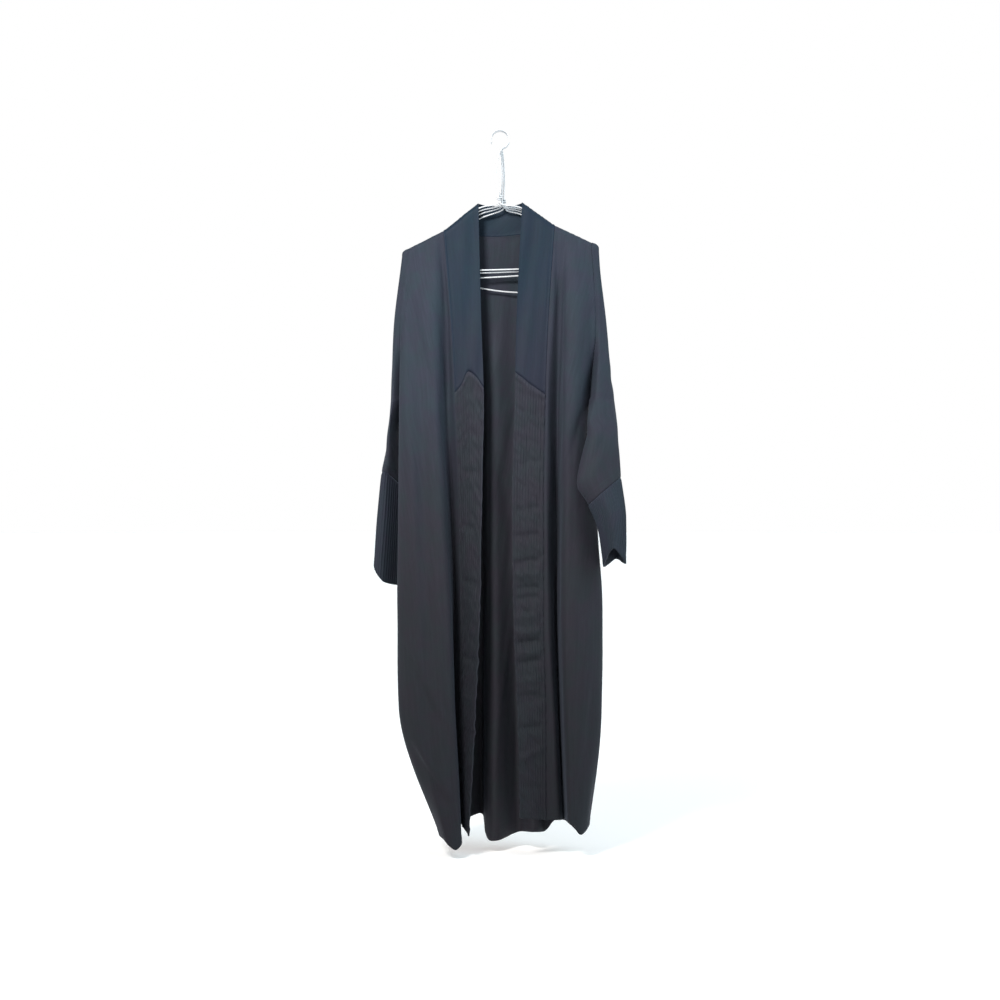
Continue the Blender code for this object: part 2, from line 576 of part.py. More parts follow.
# ---------------------------------------------------------------- assembly
def cut_pieces():
    """Grids of every cloth piece, sewn edge to edge."""
    back = with_spares(back_grid())
    neck_first, neck_last = (fold * FOLD_STEPS + 1 for fold in NECK_FOLDS)
    pieces = {}
    last_upper = ROWS_TO_UNDERARM
    for side in ("left", "right"):
        band, front = band_grid(side), with_spares(front_grid(side))
        back_from_side = back if side == "left" else back[::-1]
        sleeve = sleeve_grid(side, front[-1], back_from_side[0])
        sleeve = with_spares(sleeve)
        sew(band[::-1], front)
        upper = slice(0, last_upper - 1)
        lower = slice(last_upper - 1, None)
        armhole_gap = np.interp(np.arange(last_upper - 1), (2, 4, last_upper - 3, last_upper - 2),
                                (TIP_HALF, SEAM_HALF, SEAM_HALF, TIP_HALF))
        side_gap = np.full(front.shape[1] - last_upper + 1, SEAM_HALF)
        side_gap[0] = UNDERARM_HALF
        sew(front[:, upper], sleeve[:, upper], armhole_gap)
        sew(sleeve[:, upper], back_from_side[:, upper], armhole_gap)
        sew(front[:, lower], back_from_side[:, lower], side_gap)
        front[:, 0, 1] = -SEAM_HALF
        band[:, 0, 1] = -SEAM_HALF
        sign = -1 if side == "left" else 1
        tip = RIDGE[side].tip
        sleeve[:, 0] = np.array([tip[0] * MM + sign * CAP_START, 0, tip[1] * MM - CAP_DROP])
        smooth, tucked = band[:, :last_upper].copy(), band[:, last_upper - 1:].copy()
        part_rows(smooth, tucked)
        cuff = cuff_grid(side)
        pieces[side] = {"front": front, "smooth": smooth, "tucked": tucked, "sleeve": sleeve, "cuff": cuff}
    neck = neck_band_grid()
    shoulders = [index for index in range(len(back)) if not neck_first < index < neck_last]
    back[shoulders, 0, 1] = SEAM_HALF
    seam = back[neck_first:neck_last + 1]
    up = unit(neck[:, 1] - seam[:, 1])
    seam[:, 0] -= SEAM_HALF * up
    neck[:, 0] += SEAM_HALF * up
    neck[[0, 1, -2, -1], 0] += 3 * SEAM_HALF * up[[0, 1, -2, -1]]
    neck[[0, -1], :, 1] = 0.7 * MM
    return pieces, back, neck


def build():
    """Clear the scene and build every piece of the cloak and its hangers."""
    for item in list(bpy.data.objects):
        bpy.data.objects.remove(item, do_unlink=True)
    collection = bpy.data.collections.new("abaya_cloak")
    bpy.context.scene.collection.children.link(collection)
    cloth = material("cloth", (0.045, 0.05, 0.062), 0.75)
    smooth = material("smooth_band", (0.03, 0.042, 0.06), 0.6)
    tucked = material("tucked_cloth", (0.036, 0.04, 0.052), 0.65)
    coating = material("white_coating", (0.85, 0.86, 0.88), 0.35)
    pieces, back, neck = cut_pieces()
    ridges = [step % 2 for step in range(2 * CUFF_TUCKS + 1)]
    for side, cut in pieces.items():
        turned = side == "right"
        joined = ROWS_TO_UNDERARM - 1
        wall(f"front_{side}", cut["front"], cloth, collection)
        wall(f"band_{side}_upper", cut["smooth"], smooth, collection)
        wall(f"band_{side}_lower", cut["tucked"], tucked, collection, flip=turned, tucks=ridges)
        wall(f"sleeve_{side}", cut["sleeve"], cloth, collection, closed_from=joined, point=0)
        wall(f"cuff_{side}", cut["cuff"], tucked, collection, closed_from=0, flip=turned, tucks=ridges)
    wall("back", back, cloth, collection)
    wall("back_neck_band", neck, smooth, collection)
    for index, row in enumerate(HANGERS):
        hanger(row, index, coating, collection)


build()
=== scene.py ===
"""The look of an open-fronted abaya cloak that hangs on four coated wire hangers.

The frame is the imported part: metres, +Z up, +X to the viewer's right, front facing -Y,
with the origin where a rail bears in the hooks.  Tables hold millimetres.  Every cloth
piece is a fine grid of (column, row) points: columns run down it and rows run across it.
"""

import logging
import math
from dataclasses import dataclass, replace
from enum import Enum
from typing import Any, Sequence, Union

import bpy
import numpy as np
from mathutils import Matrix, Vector


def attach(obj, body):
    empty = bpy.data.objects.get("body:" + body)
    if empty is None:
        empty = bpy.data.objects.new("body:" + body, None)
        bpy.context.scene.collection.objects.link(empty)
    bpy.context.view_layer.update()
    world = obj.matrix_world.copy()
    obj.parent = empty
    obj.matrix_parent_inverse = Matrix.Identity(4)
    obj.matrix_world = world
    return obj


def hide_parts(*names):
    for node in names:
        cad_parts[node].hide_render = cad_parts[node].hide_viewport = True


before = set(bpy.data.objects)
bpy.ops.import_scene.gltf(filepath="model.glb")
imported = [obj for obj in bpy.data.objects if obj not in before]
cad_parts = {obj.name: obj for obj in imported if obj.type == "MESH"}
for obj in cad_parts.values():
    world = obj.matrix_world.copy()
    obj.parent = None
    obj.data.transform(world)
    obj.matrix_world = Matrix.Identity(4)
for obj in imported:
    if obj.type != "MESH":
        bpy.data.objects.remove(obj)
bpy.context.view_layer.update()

LOG = logging.getLogger("abaya")
MM = 0.001
BODY = "root"
HEM, CUFF_HEM = 19 * MM, 15 * MM     # depths of the turned hems
CLOTH_MAP = "cloth"              # UV map: metres from the first edge, metres up from the hem
EDGE_MAP = "edges"               # UV map: metres from the last edge, metres down from the top
WAVE_SPREAD = (0.6, 1.7)         # shortest and longest of some waves, as shares of the usual one
CREASE_STEPS = 8                 # stretches between two given points of a crease
CREASE_FADE = 0.7                # below 1, a crease keeps its height nearly to its ends
CREASE_TURN = 0.3                # how squarely the cloth has to face the crease's side for a full one

Spot = tuple[float, float]
Place = tuple[float, float, float]


class Side(Enum):
    """The side of the cloak, as the viewer sees it, with the sign of its X."""

    LEFT = -1
    RIGHT = 1


class Face(Enum):
    """The front or the back of the cloak, with the sign of its Y."""

    FRONT = -1
    BACK = 1


class Slot(Enum):
    """Material slots."""

    CLOTH = "cloth"
    SMOOTH = "smooth_band"
    TUCKED = "tucked_cloth"
    WIRE = "white_coating"


# ---------------------------------------------------------------- curve helpers
def slopes(knots: np.ndarray, values: np.ndarray) -> np.ndarray:
    """Slopes of a smooth curve that never overshoots its knots.

    Args:
        knots: rising places along the curve.
        values: one row of values for each knot.

    Returns:
        One row of slopes for each knot.
    """
    step = np.diff(knots)[:, None]
    rise = np.diff(values, axis=0) / step
    slope = np.zeros_like(values)
    slope[0], slope[-1] = rise[0], rise[-1]
    before, after = rise[:-1], rise[1:]
    same_way = before * after > 0
    total = np.where(same_way, before + after, 1.0)
    slope[1:-1] = np.where(same_way, 2 * before * after / total, 0.0)
    return slope


def through(knots: Sequence[float], values: Any, at: Any) -> np.ndarray:
    """Read a smooth curve at some places.

    Args:
        knots: rising places that the curve is known at.
        values: a number or a vector for each knot.
        at: the places to read.

    Returns:
        One row for each place.
    """
    knots = np.asarray(knots, float)
    values = np.asarray(values, float).reshape(len(knots), -1)
    slope = slopes(knots, values)
    at = np.clip(np.atleast_1d(at), knots[0], knots[-1])
    cell = np.clip(np.searchsorted(knots, at) - 1, 0, len(knots) - 2)
    width = (knots[cell + 1] - knots[cell])[:, None]
    t = (at - knots[cell])[:, None] / width
    start = (1 + 2 * t) * (1 - t) ** 2 * values[cell] + t * (1 - t) ** 2 * width * slope[cell]
    finish = t * t * (3 - 2 * t) * values[cell + 1] + t * t * (t - 1) * width * slope[cell + 1]
    return start + finish


def rounded(points: Any, steps: int, closed: bool = False) -> np.ndarray:
    """Points of a rounded line through the given ones.

    Args:
        points: the points that the line passes.
        steps: stretches between two of them.
        closed: whether the line comes back to its start.

    Returns:
        The line's points, the first repeated at the end when closed.
    """
    points = np.asarray(points, float)
    if closed:
        framed = np.vstack([points[-1], points, points[0], points[1]])
    else:
        framed = np.vstack([2 * points[0] - points[1], points, 2 * points[-1] - points[-2]])
    t = (np.arange(steps) / steps)[:, None]
    line = []
    for index in range(len(framed) - 3):
        a, b, c, d = framed[index:index + 4]
        line.append(0.5 * (2 * b + (c - a) * t + (2 * a - 5 * b + 4 * c - d) * t ** 2
                           + (3 * b - a - 3 * c + d) * t ** 3))
    line.append(points[:1] if closed else points[-1:])
    return np.concatenate(line)


def even(line: np.ndarray, count: int) -> np.ndarray:
    """Points spread evenly along a line.

    Args:
        line: the line's points.
        count: stretches wanted.

    Returns:
        count + 1 points.
    """
    length = np.concatenate([[0], np.cumsum(np.linalg.norm(np.diff(line, axis=0), axis=1))])
    want = np.linspace(0, length[-1], count + 1)
    return np.stack([np.interp(want, length, line[:, axis]) for axis in range(3)], axis=1)


def unit(vectors: np.ndarray) -> np.ndarray:
    """Vectors at length one."""
    return vectors / np.maximum(np.linalg.norm(vectors, axis=-1, keepdims=True), 1e-12)


def bell(distance: np.ndarray, width: float) -> np.ndarray:
    """A soft hump, 1 at distance 0 and near 0 past twice the width."""
    return np.exp(-(distance / width) ** 2)


def ease(value: np.ndarray, low: float, high: float) -> np.ndarray:
    """A smooth step from 0 at low to 1 at high."""
    t = np.clip((value - low) / (high - low), 0, 1)
    return t * t * (3 - 2 * t)


def waves(seed: int, across: np.ndarray, along: np.ndarray, size: Spot, count: int = 7) -> np.ndarray:
    """Gentle unevenness, the same each time for one seed.

    Args:
        seed: picks the pattern.
        across, along: cloth coordinates in metres.
        size: usual wavelengths across and along, in metres.
        count: waves added up.

    Returns:
        Heights from about -1 to 1.
    """
    draw = np.random.default_rng(seed)
    total = np.zeros_like(across)
    for _ in range(count):
        pitch = draw.uniform(*WAVE_SPREAD, 2)
        phase = draw.uniform(0, 2 * np.pi)
        turn = draw.choice((-1, 1))
        total += np.sin(2 * np.pi * (across / (size[0] * pitch[0]) + turn * along / (size[1] * pitch[1]))
                        + phase)
    return total / math.sqrt(count)


# ---------------------------------------------------------------- sheets of cloth
@dataclass(frozen=True)
class Crease:
    """A soft trough or ridge that crosses the cloth, given as the viewer sees it."""

    line: tuple[Spot, ...]       # its points, as (x, z)
    height: float                # millimetres out of the cloth, below zero for a trough
    above: float                 # millimetres that it spreads on its upper or left side
    below: float                 # and on the other side
    facing: Face = Face.FRONT

    def lift(self, points: np.ndarray, normals: np.ndarray) -> np.ndarray:
        """How far it moves each point.

        Args:
            points: a grid of points in metres.
            normals: the outward direction at each.

        Returns:
            Metres out of the cloth, for each point.
        """
        places = points[..., [0, 2]] / MM
        path = rounded([(*spot, 0) for spot in self.line], CREASE_STEPS)[:, :2]
        nearest = np.full(places.shape[:2], np.inf)
        signed = np.zeros(places.shape[:2])
        share = np.zeros(places.shape[:2])
        count = len(path) - 1
        for index in range(count):
            start, run = path[index], path[index + 1] - path[index]
            t = np.clip((places - start) @ run / (run @ run), 0, 1)
            away = places - (start + t[..., None] * run)
            distance = np.linalg.norm(away, axis=-1)
            closer = distance < nearest
            nearest = np.where(closer, distance, nearest)
            side = np.sign(run[0] * away[..., 1] - run[1] * away[..., 0])
            signed = np.where(closer, side * distance, signed)
            share = np.where(closer, (index + t) / count, share)
        width = np.where(signed > 0, self.above, self.below)
        fade = np.sin(np.pi * np.clip(share, 0, 1)) ** CREASE_FADE
        seen = ease(self.facing.value * normals[..., 1], 0.0, CREASE_TURN)
        return self.height * MM * bell(nearest, width) * fade * seen


@dataclass
class Sheet:
    """A grid of points with the cloth's own coordinates."""

    points: np.ndarray
    closed_from: int | None = None   # from this row on, the last column is the first one again
    flipped: bool = False            # whether the columns run so that the normals point in

    def normals(self) -> np.ndarray:
        """The outward direction at each point.

        Returns:
            One unit vector for each point.
        """
        points = self.points
        across, down = np.gradient(points, axis=0), np.gradient(points, axis=1)
        if self.closed_from is not None:
            rows = slice(self.closed_from, None)
            across[0, rows] = across[-1, rows] = (points[1, rows] - points[-2, rows]) / 2
        out = unit(np.cross(across, down))
        return -out if self.flipped else out

    def spans(self) -> tuple[np.ndarray, np.ndarray, np.ndarray, np.ndarray]:
        """How far each point is from the sheet's edges.

        Returns:
            Metres from the first edge, from the last edge, from the top and from the hem.
        """
        steps = np.linalg.norm(np.diff(self.points, axis=0), axis=-1)
        first = np.concatenate([np.zeros((1, steps.shape[1])), np.cumsum(steps, axis=0)])
        drops = np.linalg.norm(np.diff(self.points, axis=1), axis=-1)
        top = np.concatenate([np.zeros((drops.shape[0], 1)), np.cumsum(drops, axis=1)], axis=1)
        return first, first[-1] - first, top, top[:, -1:] - top

    def move(self, height: np.ndarray) -> None:
        """Move every point out of the cloth by its height in metres."""
        self.points = self.points + self.normals() * height[..., None]

    def area(self) -> float:
        """The sheet's area.

        Returns:
            Square metres.
        """
        across, down = np.diff(self.points, axis=0), np.diff(self.points, axis=1)
        cells = np.cross(across[:, :-1] + across[:, 1:], down[:-1] + down[1:]) / 4
        return float(np.linalg.norm(cells, axis=-1).sum())


def add_object(name: str, data: bpy.types.ID) -> bpy.types.Object:
    """Put a new object into the scene.

    Args:
        name: its name.
        data: its mesh, light or camera.

    Returns:
        The object.
    """
    added = bpy.data.objects.new(name, data)
    bpy.context.scene.collection.objects.link(added)
    return added


def cloth_mesh(name: str, sheet: Sheet, outside: np.ndarray, inside: np.ndarray) -> bpy.types.Object:
    """Closed mesh of a sheet with its two faces and its rims.

    Args:
        name: the piece's name.
        sheet: its middle surface.
        outside, inside: metres from the middle to each face, for each point.

    Returns:
        The new object, with both UV maps.
    """
    points, normals = sheet.points, sheet.normals()
    columns, rows = points.shape[:2]
    layer = columns * rows
    places = np.concatenate([(points + normals * outside[..., None]).reshape(-1, 3),
                             (points - normals * inside[..., None]).reshape(-1, 3)])
    number = np.arange(layer).reshape(columns, rows)
    if sheet.closed_from is not None:
        number[-1, sheet.closed_from:] = number[0, sheet.closed_from:]
    column, row = np.meshgrid(np.arange(columns - 1), np.arange(rows - 1), indexing="ij")
    ring = np.stack([column, column + 1, column + 1, column], -1).reshape(-1, 4)
    drop = np.stack([row, row, row + 1, row + 1], -1).reshape(-1, 4)
    if sheet.flipped:
        ring, drop = ring[:, ::-1], drop[:, ::-1]
    quads = [number[ring, drop], number[ring, drop][:, ::-1] + layer]
    corners = [np.stack([ring, drop], -1), np.stack([ring[:, ::-1], drop[:, ::-1]], -1)]

    def rim(line_columns: np.ndarray, line_rows: np.ndarray, turned: bool) -> None:
        """Close one edge between the two faces.

        Args:
            line_columns, line_rows: the grid points along the edge.
            turned: whether its faces run the other way round.
        """
        line = number[line_columns, line_rows]
        quad = np.stack([line[:-1], line[1:], line[1:] + layer, line[:-1] + layer], -1)
        spots = np.stack([line_columns, line_rows], -1)
        spot = np.stack([spots[:-1], spots[1:], spots[1:], spots[:-1]], 1)
        if turned != sheet.flipped:
            quad, spot = quad[:, ::-1], spot[:, ::-1]
        quads.append(quad)
        corners.append(spot)

    every_column = np.arange(columns)
    rim(every_column, np.zeros_like(every_column), True)
    rim(every_column, np.full_like(every_column, rows - 1), False)
    open_rows = np.arange(rows if sheet.closed_from is None else sheet.closed_from + 1)
    if len(open_rows) > 1:
        rim(np.zeros_like(open_rows), open_rows, False)
        rim(np.full_like(open_rows, columns - 1), open_rows, True)
    faces = np.concatenate(quads)
    spots = np.concatenate(corners).reshape(-1, 2)
    used, faces = np.unique(faces, return_inverse=True)
    mesh = bpy.data.meshes.new(name)
    mesh.from_pydata(places[used].tolist(), [], faces.reshape(-1, 4).tolist())
    first, last, top, hem = sheet.spans()
    for label, across, down in ((CLOTH_MAP, first, hem), (EDGE_MAP, last, top)):
        unrolled = np.stack([across[spots[:, 0], spots[:, 1]], down[spots[:, 0], spots[:, 1]]], -1)
        mesh.uv_layers.new(name=label).uv.foreach_set("vector", unrolled.astype(np.float32).ravel())
    mesh.shade_smooth()
    return add_object(name, mesh)


# ---------------------------------------------------------------- the cloak's own sizes
@dataclass(frozen=True)
class Fold:
    """One fold line: where it passes each level, as (x, y), and the height where it ends."""

    name: str
    hem_z: float
    chest: Spot
    underarm: Spot
    hip: Spot
    thigh: Spot
    calf: Spot
    hem: Spot


@dataclass(frozen=True)
class Ridge:
    """Shoulder line as (x, z): the band's inner edge, its outer edge and the hanger's tip."""

    inner: Spot
    outer: Spot
    tip: Spot


@dataclass(frozen=True)
class Section:
    """One section of a sleeve: the four corners of its flattened tube."""

    name: str
    inner: Place
    front: Place
    outer: Place
    back: Place


@dataclass(frozen=True)
class Wire:
    """One hanger's own bends in millimetres, with each arm's heights at ARM_PLACES and its tip."""

    name: str
    neck_x: float
    bow: float
    apex: float
    left: Place
    right: Place
    reach: float
    bar_drop: float
    sag: float
    sag_x: float
    wrap_lift: float


# Height of each level that the fold lines are given at
LEVELS: dict[str, float] = {"chest": -432, "underarm": -585, "hip": -802, "thigh": -1063,
                            "calf": -1250, "hem": -1520}
RIDGE: dict[Side, Ridge] = {
    Side.LEFT: Ridge(inner=(-47, -158), outer=(-122, -218), tip=(-197, -256)),
    Side.RIGHT: Ridge(inner=(48, -156), outer=(118, -206), tip=(199, -244)),
}

BAND: dict[Side, tuple[Fold, ...]] = {
    Side.LEFT: (
        Fold("outer", -1498, (-105, -22), (-97, -24), (-89, -16), (-85, -10), (-87, -8), (-88, -4)),
        Fold("inner", -1524, (-40, -26), (-35, -34), (-39, -52), (-44, -58), (-52, -62), (-67, -64)),
    ),
    Side.RIGHT: (
        Fold("outer", -1493, (103, -24), (97, -30), (93, -44), (93, -46), (98, -44), (99, -40)),
        Fold("inner", -1486, (35, -26), (32, -34), (26, -42), (29, -48), (37, -54), (44, -60)),
    ),
}
# Height of the join between smooth and tucked band, across it from outer to inner edge
BAND_JOIN: dict[Side, tuple[float, ...]] = {
    Side.LEFT: (-570, -552, -524, -536, -560),
    Side.RIGHT: (-574, -563, -551, -539, -527),
}

FRONT: dict[Side, tuple[Fold, ...]] = {
    Side.LEFT: (
        Fold("band_seam", -1498, (-105, -22), (-97, -24), (-89, -16), (-85, -10), (-87, -8), (-88, -4)),
        Fold("valley", -1530, (-117, -18), (-117, -12), (-107, 2), (-102, 10), (-104, 12), (-98, 14)),
        Fold("fold_edge", -1536, (-137, -41), (-133, -52), (-120, -54), (-105, -62), (-97, -64), (-82, -68)),
        Fold("fold_crest", -1551, (-158, -44), (-150, -57), (-137, -65), (-124, -75), (-120, -78),
             (-94, -84)),
        Fold("trough", -1542, (-185, -32), (-170, -50), (-163, -60), (-154, -70), (-155, -74), (-109, -84)),
        Fold("ridge", -1531, (-203, -28), (-198, -50), (-191, -64), (-182, -70), (-184, -70), (-118, -72)),
        Fold("side_turn", -1527, (-209, -24), (-216, -34), (-218, -38), (-220, -36), (-217, -36),
             (-130, -40)),
        Fold("side_seam", -1531, (-218, -18), (-213, 6), (-213, 8), (-214, 10), (-209, 11), (-124, 16)),
    ),
    Side.RIGHT: (
        Fold("band_seam", -1493, (103, -24), (97, -30), (93, -44), (93, -46), (98, -44), (99, -40)),
        Fold("strip_turn", -1492, (113, -24), (106, -31), (104, -43), (108, -45), (117, -46), (130, -46)),
        Fold("valley", -1498, (130, -18), (126, -8), (124, 0), (124, 6), (128, 6), (139, 4)),
        Fold("fold_edge", -1493, (141, -42), (138, -52), (138, -60), (134, -66), (139, -70), (147, -72)),
        Fold("fold_crest", -1504, (162, -47), (158, -58), (159, -66), (159, -75), (158, -80), (158, -82)),
        Fold("fold_side", -1519, (184, -38), (176, -46), (184, -50), (193, -64), (190, -70), (174, -78)),
        Fold("side_turn", -1504, (200, -24), (188, -22), (204, -24), (220, -34), (219, -36), (190, -44)),
        Fold("side_seam", -1505, (208, -18), (196, 6), (206, 10), (219, 10), (214, 12), (188, 16)),
    ),
}

BACK: tuple[Fold, ...] = (
    Fold("left_seam", -1531, (-218, 18), (-213, 6), (-213, 8), (-214, 10), (-209, 11), (-124, 16)),
    Fold("left_turn", -1531, (-208, 26), (-211, 32), (-212, 40), (-212, 48), (-207, 54), (-130, 60)),
    Fold("left_crest", -1528, (-186, 30), (-190, 44), (-190, 60), (-188, 72), (-184, 80), (-128, 92)),
    Fold("left_trough", -1522, (-158, 24), (-162, 30), (-160, 36), (-158, 36), (-150, 38), (-108, 40)),
    Fold("blade_crest", -1506, (-124, 30), (-128, 44), (-126, 60), (-122, 72), (-116, 82), (-88, 92)),
    Fold("inner_trough", -1499, (-92, 26), (-94, 34), (-92, 42), (-88, 46), (-84, 50), (-68, 56)),
    Fold("gap_crest", -1499, (-48, 32), (-48, 46), (-44, 62), (-42, 76), (-42, 88), (-38, 98)),
    Fold("centre_edge", -1541, (-26, 27), (-27, 30), (-27, 35), (-27, 39), (-28, 40), (-28, 36)),
    Fold("centre_fold", -1546, (-4, 24), (-6, 24), (-8, 26), (-6, 26), (-4, 24), (-6, 22)),
    Fold("gap_crest_2", -1537, (36, 32), (34, 46), (32, 62), (34, 74), (34, 84), (40, 92)),
    Fold("outer_trough", -1532, (74, 26), (74, 32), (72, 40), (72, 44), (72, 48), (74, 52)),
    Fold("blade_crest_2", -1534, (112, 31), (110, 46), (108, 60), (108, 72), (108, 82), (101, 92)),
    Fold("right_trough", -1502, (150, 25), (146, 32), (144, 38), (144, 40), (140, 42), (122, 44)),
    Fold("right_crest", -1506, (182, 29), (180, 42), (184, 58), (186, 68), (180, 78), (166, 86)),
    Fold("right_turn", -1505, (200, 26), (194, 30), (206, 36), (217, 44), (213, 50), (190, 58)),
    Fold("right_seam", -1505, (208, 18), (196, 6), (206, 10), (219, 10), (214, 12), (188, 16)),
)
# The neck band's seam on the back and its upper edge, from the left shoulder to the right one
NECK_SEAM: tuple[Place, ...] = ((-122, 0, -218), (-111, 12, -221), (-84, 19, -224), (0, 23, -227),
                                (81, 19, -217), (107, 12, -210), (118, 0, -206))
NECK_TOP: tuple[Place, ...] = ((-47, 0, -158), (-42, 12, -158), (-30, 21, -159), (0, 26, -161),
                               (30, 21, -159), (43, 12, -157), (48, 0, -156))
# Sleeve sections from the chest down; inner is the underarm seam
SLEEVE: dict[Side, tuple[Section, ...]] = {
    Side.LEFT: (
        Section("chest", (-218, 0, -432), (-227, -11, -432), (-231, 0, -432), (-227, 11, -432)),
        Section("underarm", (-217, 6, -585), (-232, -20, -585), (-237, 8, -585), (-229, 36, -585)),
        Section("bicep", (-219, 36, -640), (-238, -10, -636), (-241, 16, -634), (-235, 58, -638)),
        Section("elbow", (-208, 68, -705), (-240, -2, -695), (-248, 26, -688), (-232, 84, -698)),
        Section("cuff_seam", (-191, 100, -800), (-245, 10, -768), (-257, 40, -750), (-227, 106, -778)),
        Section("cuff_middle", (-198, 100, -895), (-250, 8, -870), (-267, 36, -845), (-236, 108, -878)),
        Section("opening", (-200, 98, -992), (-254, 8, -980), (-274, 34, -944), (-238, 108, -975)),
    ),
    Side.RIGHT: (
        Section("chest", (208, 0, -432), (219, -17, -432), (231, 0, -432), (221, 16, -432)),
        Section("underarm", (202, 5, -585), (206, -52, -585), (245, -24, -585), (233, 20, -585)),
        Section("bicep", (196, -48, -640), (193, -90, -632), (249, -54, -622), (236, -8, -632)),
        Section("elbow", (180, -88, -690), (206, -114, -676), (252, -74, -662), (234, -34, -676)),
        Section("corner", (164, -100, -766), (203, -126, -742), (255, -86, -718), (230, -52, -742)),
        Section("cuff_seam", (190, -86, -813), (214, -128, -785), (257, -92, -755), (236, -46, -785)),
        Section("cuff_middle", (212, -68, -866), (236, -132, -848), (268, -94, -842), (250, -30, -856)),
        Section("opening", (224, -42, -946), (240, -126, -905), (268, -92, -938), (251, -16, -930)),
    ),
}
ARM_PLACES = (48, 115)           # distances from the middle where the arms' heights are given
HANGERS: tuple[Wire, ...] = (
    Wire("hanger_1", -3, -11, -160, (-167, -221, -261), (-166, -213, -250), 194, 44, 3, 0, 0),
    Wire("hanger_2", 1, 2, -164, (-173, -222, -264), (-169, -213, -249), 193, 48, 3, 0, 9),
    Wire("hanger_3", 4, 7, -167, (-180, -228, -269), (-173, -217, -251), 192, 50, 7, -30, 0),
    Wire("hanger_4", 8, 10, -171, (-189, -239, -274), (-179, -223, -254), 189, 45, 45, 80, 9),
)

# Rows and columns of the cloth grids
ROLL_RADIUS = 15.5               # cloth rolling over the hanger arms
ROLL_FLAT = 3.0                  # flat top of the roll, either side of the shoulder seam
FLAT_DROP = 4.0                  # row spacing where the neck seam has no roll
ROLL_KNOTS = (0, 1, 2, 3, 4)             # places over the roll that its angles are given at
ROLL_ANGLES = (0, 0, 34, 62, 86)         # degrees that the roll has turned at each knot
CAP_ANGLES = (0, 28, 42, 63, 86)         # and the sleeve's cap
ROLL_PLACES = np.linspace(0, 4, 11)      # rows over the roll
UPPER_SHARES = np.linspace(0, 1, 47)[1:]     # rows from the roll to the underarm or the join
LOWER_SHARES = np.linspace(0, 1, 151)[1:]    # rows below it
BAND_SHARES = np.linspace(0, 1, 301)[1:]     # and on the band, whose ripples are finer
TO_UNDERARM = len(ROLL_PLACES) + len(UPPER_SHARES)
FOLD_STEPS = 13                  # grid columns between two fold lines of a front
BACK_STEPS = 11                  # and of the back
BAND_TUCKS = 11
CUFF_TUCKS = 40
TUCK_STEPS = 8                   # grid columns across one tuck
SLEEVE_STEPS = 20                # grid columns between two corners of a sleeve
TUBE_ROWS = 60
CUFF_ROWS = 44
RING_STEPS = 16                  # stretches between two corners of a cuff, before they are evened
NECK_STEPS = 12                  # stretches between two given points of the neck seam
COARSE_TUBE, COARSE_CUFF = 6, 3  # the cuff seam is levelled over 1/6 of the sleeve and 1/3 of the cuff
CAP_BULGE, CAP_HALF_WIDTH = 14, 9    # how far the sleeve's cap swells out, and half its width
CAP_SLOPE = 0.7                  # how much the cap droops as it swells out
CAP_LEAST = 0.03                 # share of its swell that the cap starts with
NECK_FOLDS = (4, 11)             # fold lines of the back that end on the neck seam
TUCK_SHARPNESS = 1.6             # above 1, it makes the tucks narrower


def section_lines(folds: Sequence[Fold], steps: int) -> tuple[np.ndarray, np.ndarray]:
    """Rounded lines across the cloth.

    Args:
        folds: the fold lines from one edge to the other.
        steps: columns between two of them.

    Returns:
        (x, y) for each level and column, and the height where each column ends.
    """
    ends = rounded([(fold.hem_z, 0, 0) for fold in folds], steps)[:, 0]
    lines = [rounded([(*getattr(fold, level), 0) for fold in folds], steps)[:, :2] for level in LEVELS]
    return np.array(lines), ends


def hanging_column(top: Place, facing: Face, passes: np.ndarray, split_z: float, end_z: float,
                   roll: float = 1.0, lower: np.ndarray = LOWER_SHARES) -> np.ndarray:
    """One column, over the shoulder roll and down to its end.

    Args:
        top: its point on the ridge.
        facing: the front or the back.
        passes: its (x, y) at each level.
        split_z, end_z: where its upper rows and its lower rows end.
        roll: share of the full roll.
        lower: how far down each of its lower rows lies.

    Returns:
        The column's points in metres.
    """
    radius = (ROLL_RADIUS - ROLL_FLAT) * roll
    angles = np.radians(np.interp(ROLL_PLACES, ROLL_KNOTS, ROLL_ANGLES))
    flats = ROLL_FLAT * roll * np.minimum(ROLL_PLACES, 1)
    roll_z = top[2] - radius * (1 - np.cos(angles)) - (1 - roll) * FLAT_DROP * ROLL_PLACES
    roll_y = top[1] + facing.value * (flats + radius * np.sin(angles))
    start_z = roll_z[-1]
    heights = np.concatenate([roll_z, start_z + (split_z - start_z) * UPPER_SHARES,
                              split_z + (end_z - split_z) * lower])
    levels = -np.array(list(LEVELS.values()), float)
    levels[-1] = max(levels[-1], -end_z)
    across = through([-top[2], *levels], [top[0], *passes[:, 0]], -heights)[:, 0]
    depth = through([-start_z, *levels], [roll_y[-1], *passes[:, 1]], -heights)[:, 0]
    depth[:len(roll_y)] = roll_y
    return np.stack([across, depth, heights], axis=1) * MM


def ridge_point(side: Side, share: float) -> Place:
    """A point on the shoulder ridge.

    Args:
        side: which shoulder.
        share: 0 at the band's inner edge, 1 at its outer edge and 2 at the tip.

    Returns:
        The point in millimetres.
    """
    ridge = RIDGE[side]
    start, finish = (ridge.inner, ridge.outer) if share <= 1 else (ridge.outer, ridge.tip)
    part = share if share <= 1 else share - 1
    return start[0] + (finish[0] - start[0]) * part, 0.0, start[1] + (finish[1] - start[1]) * part


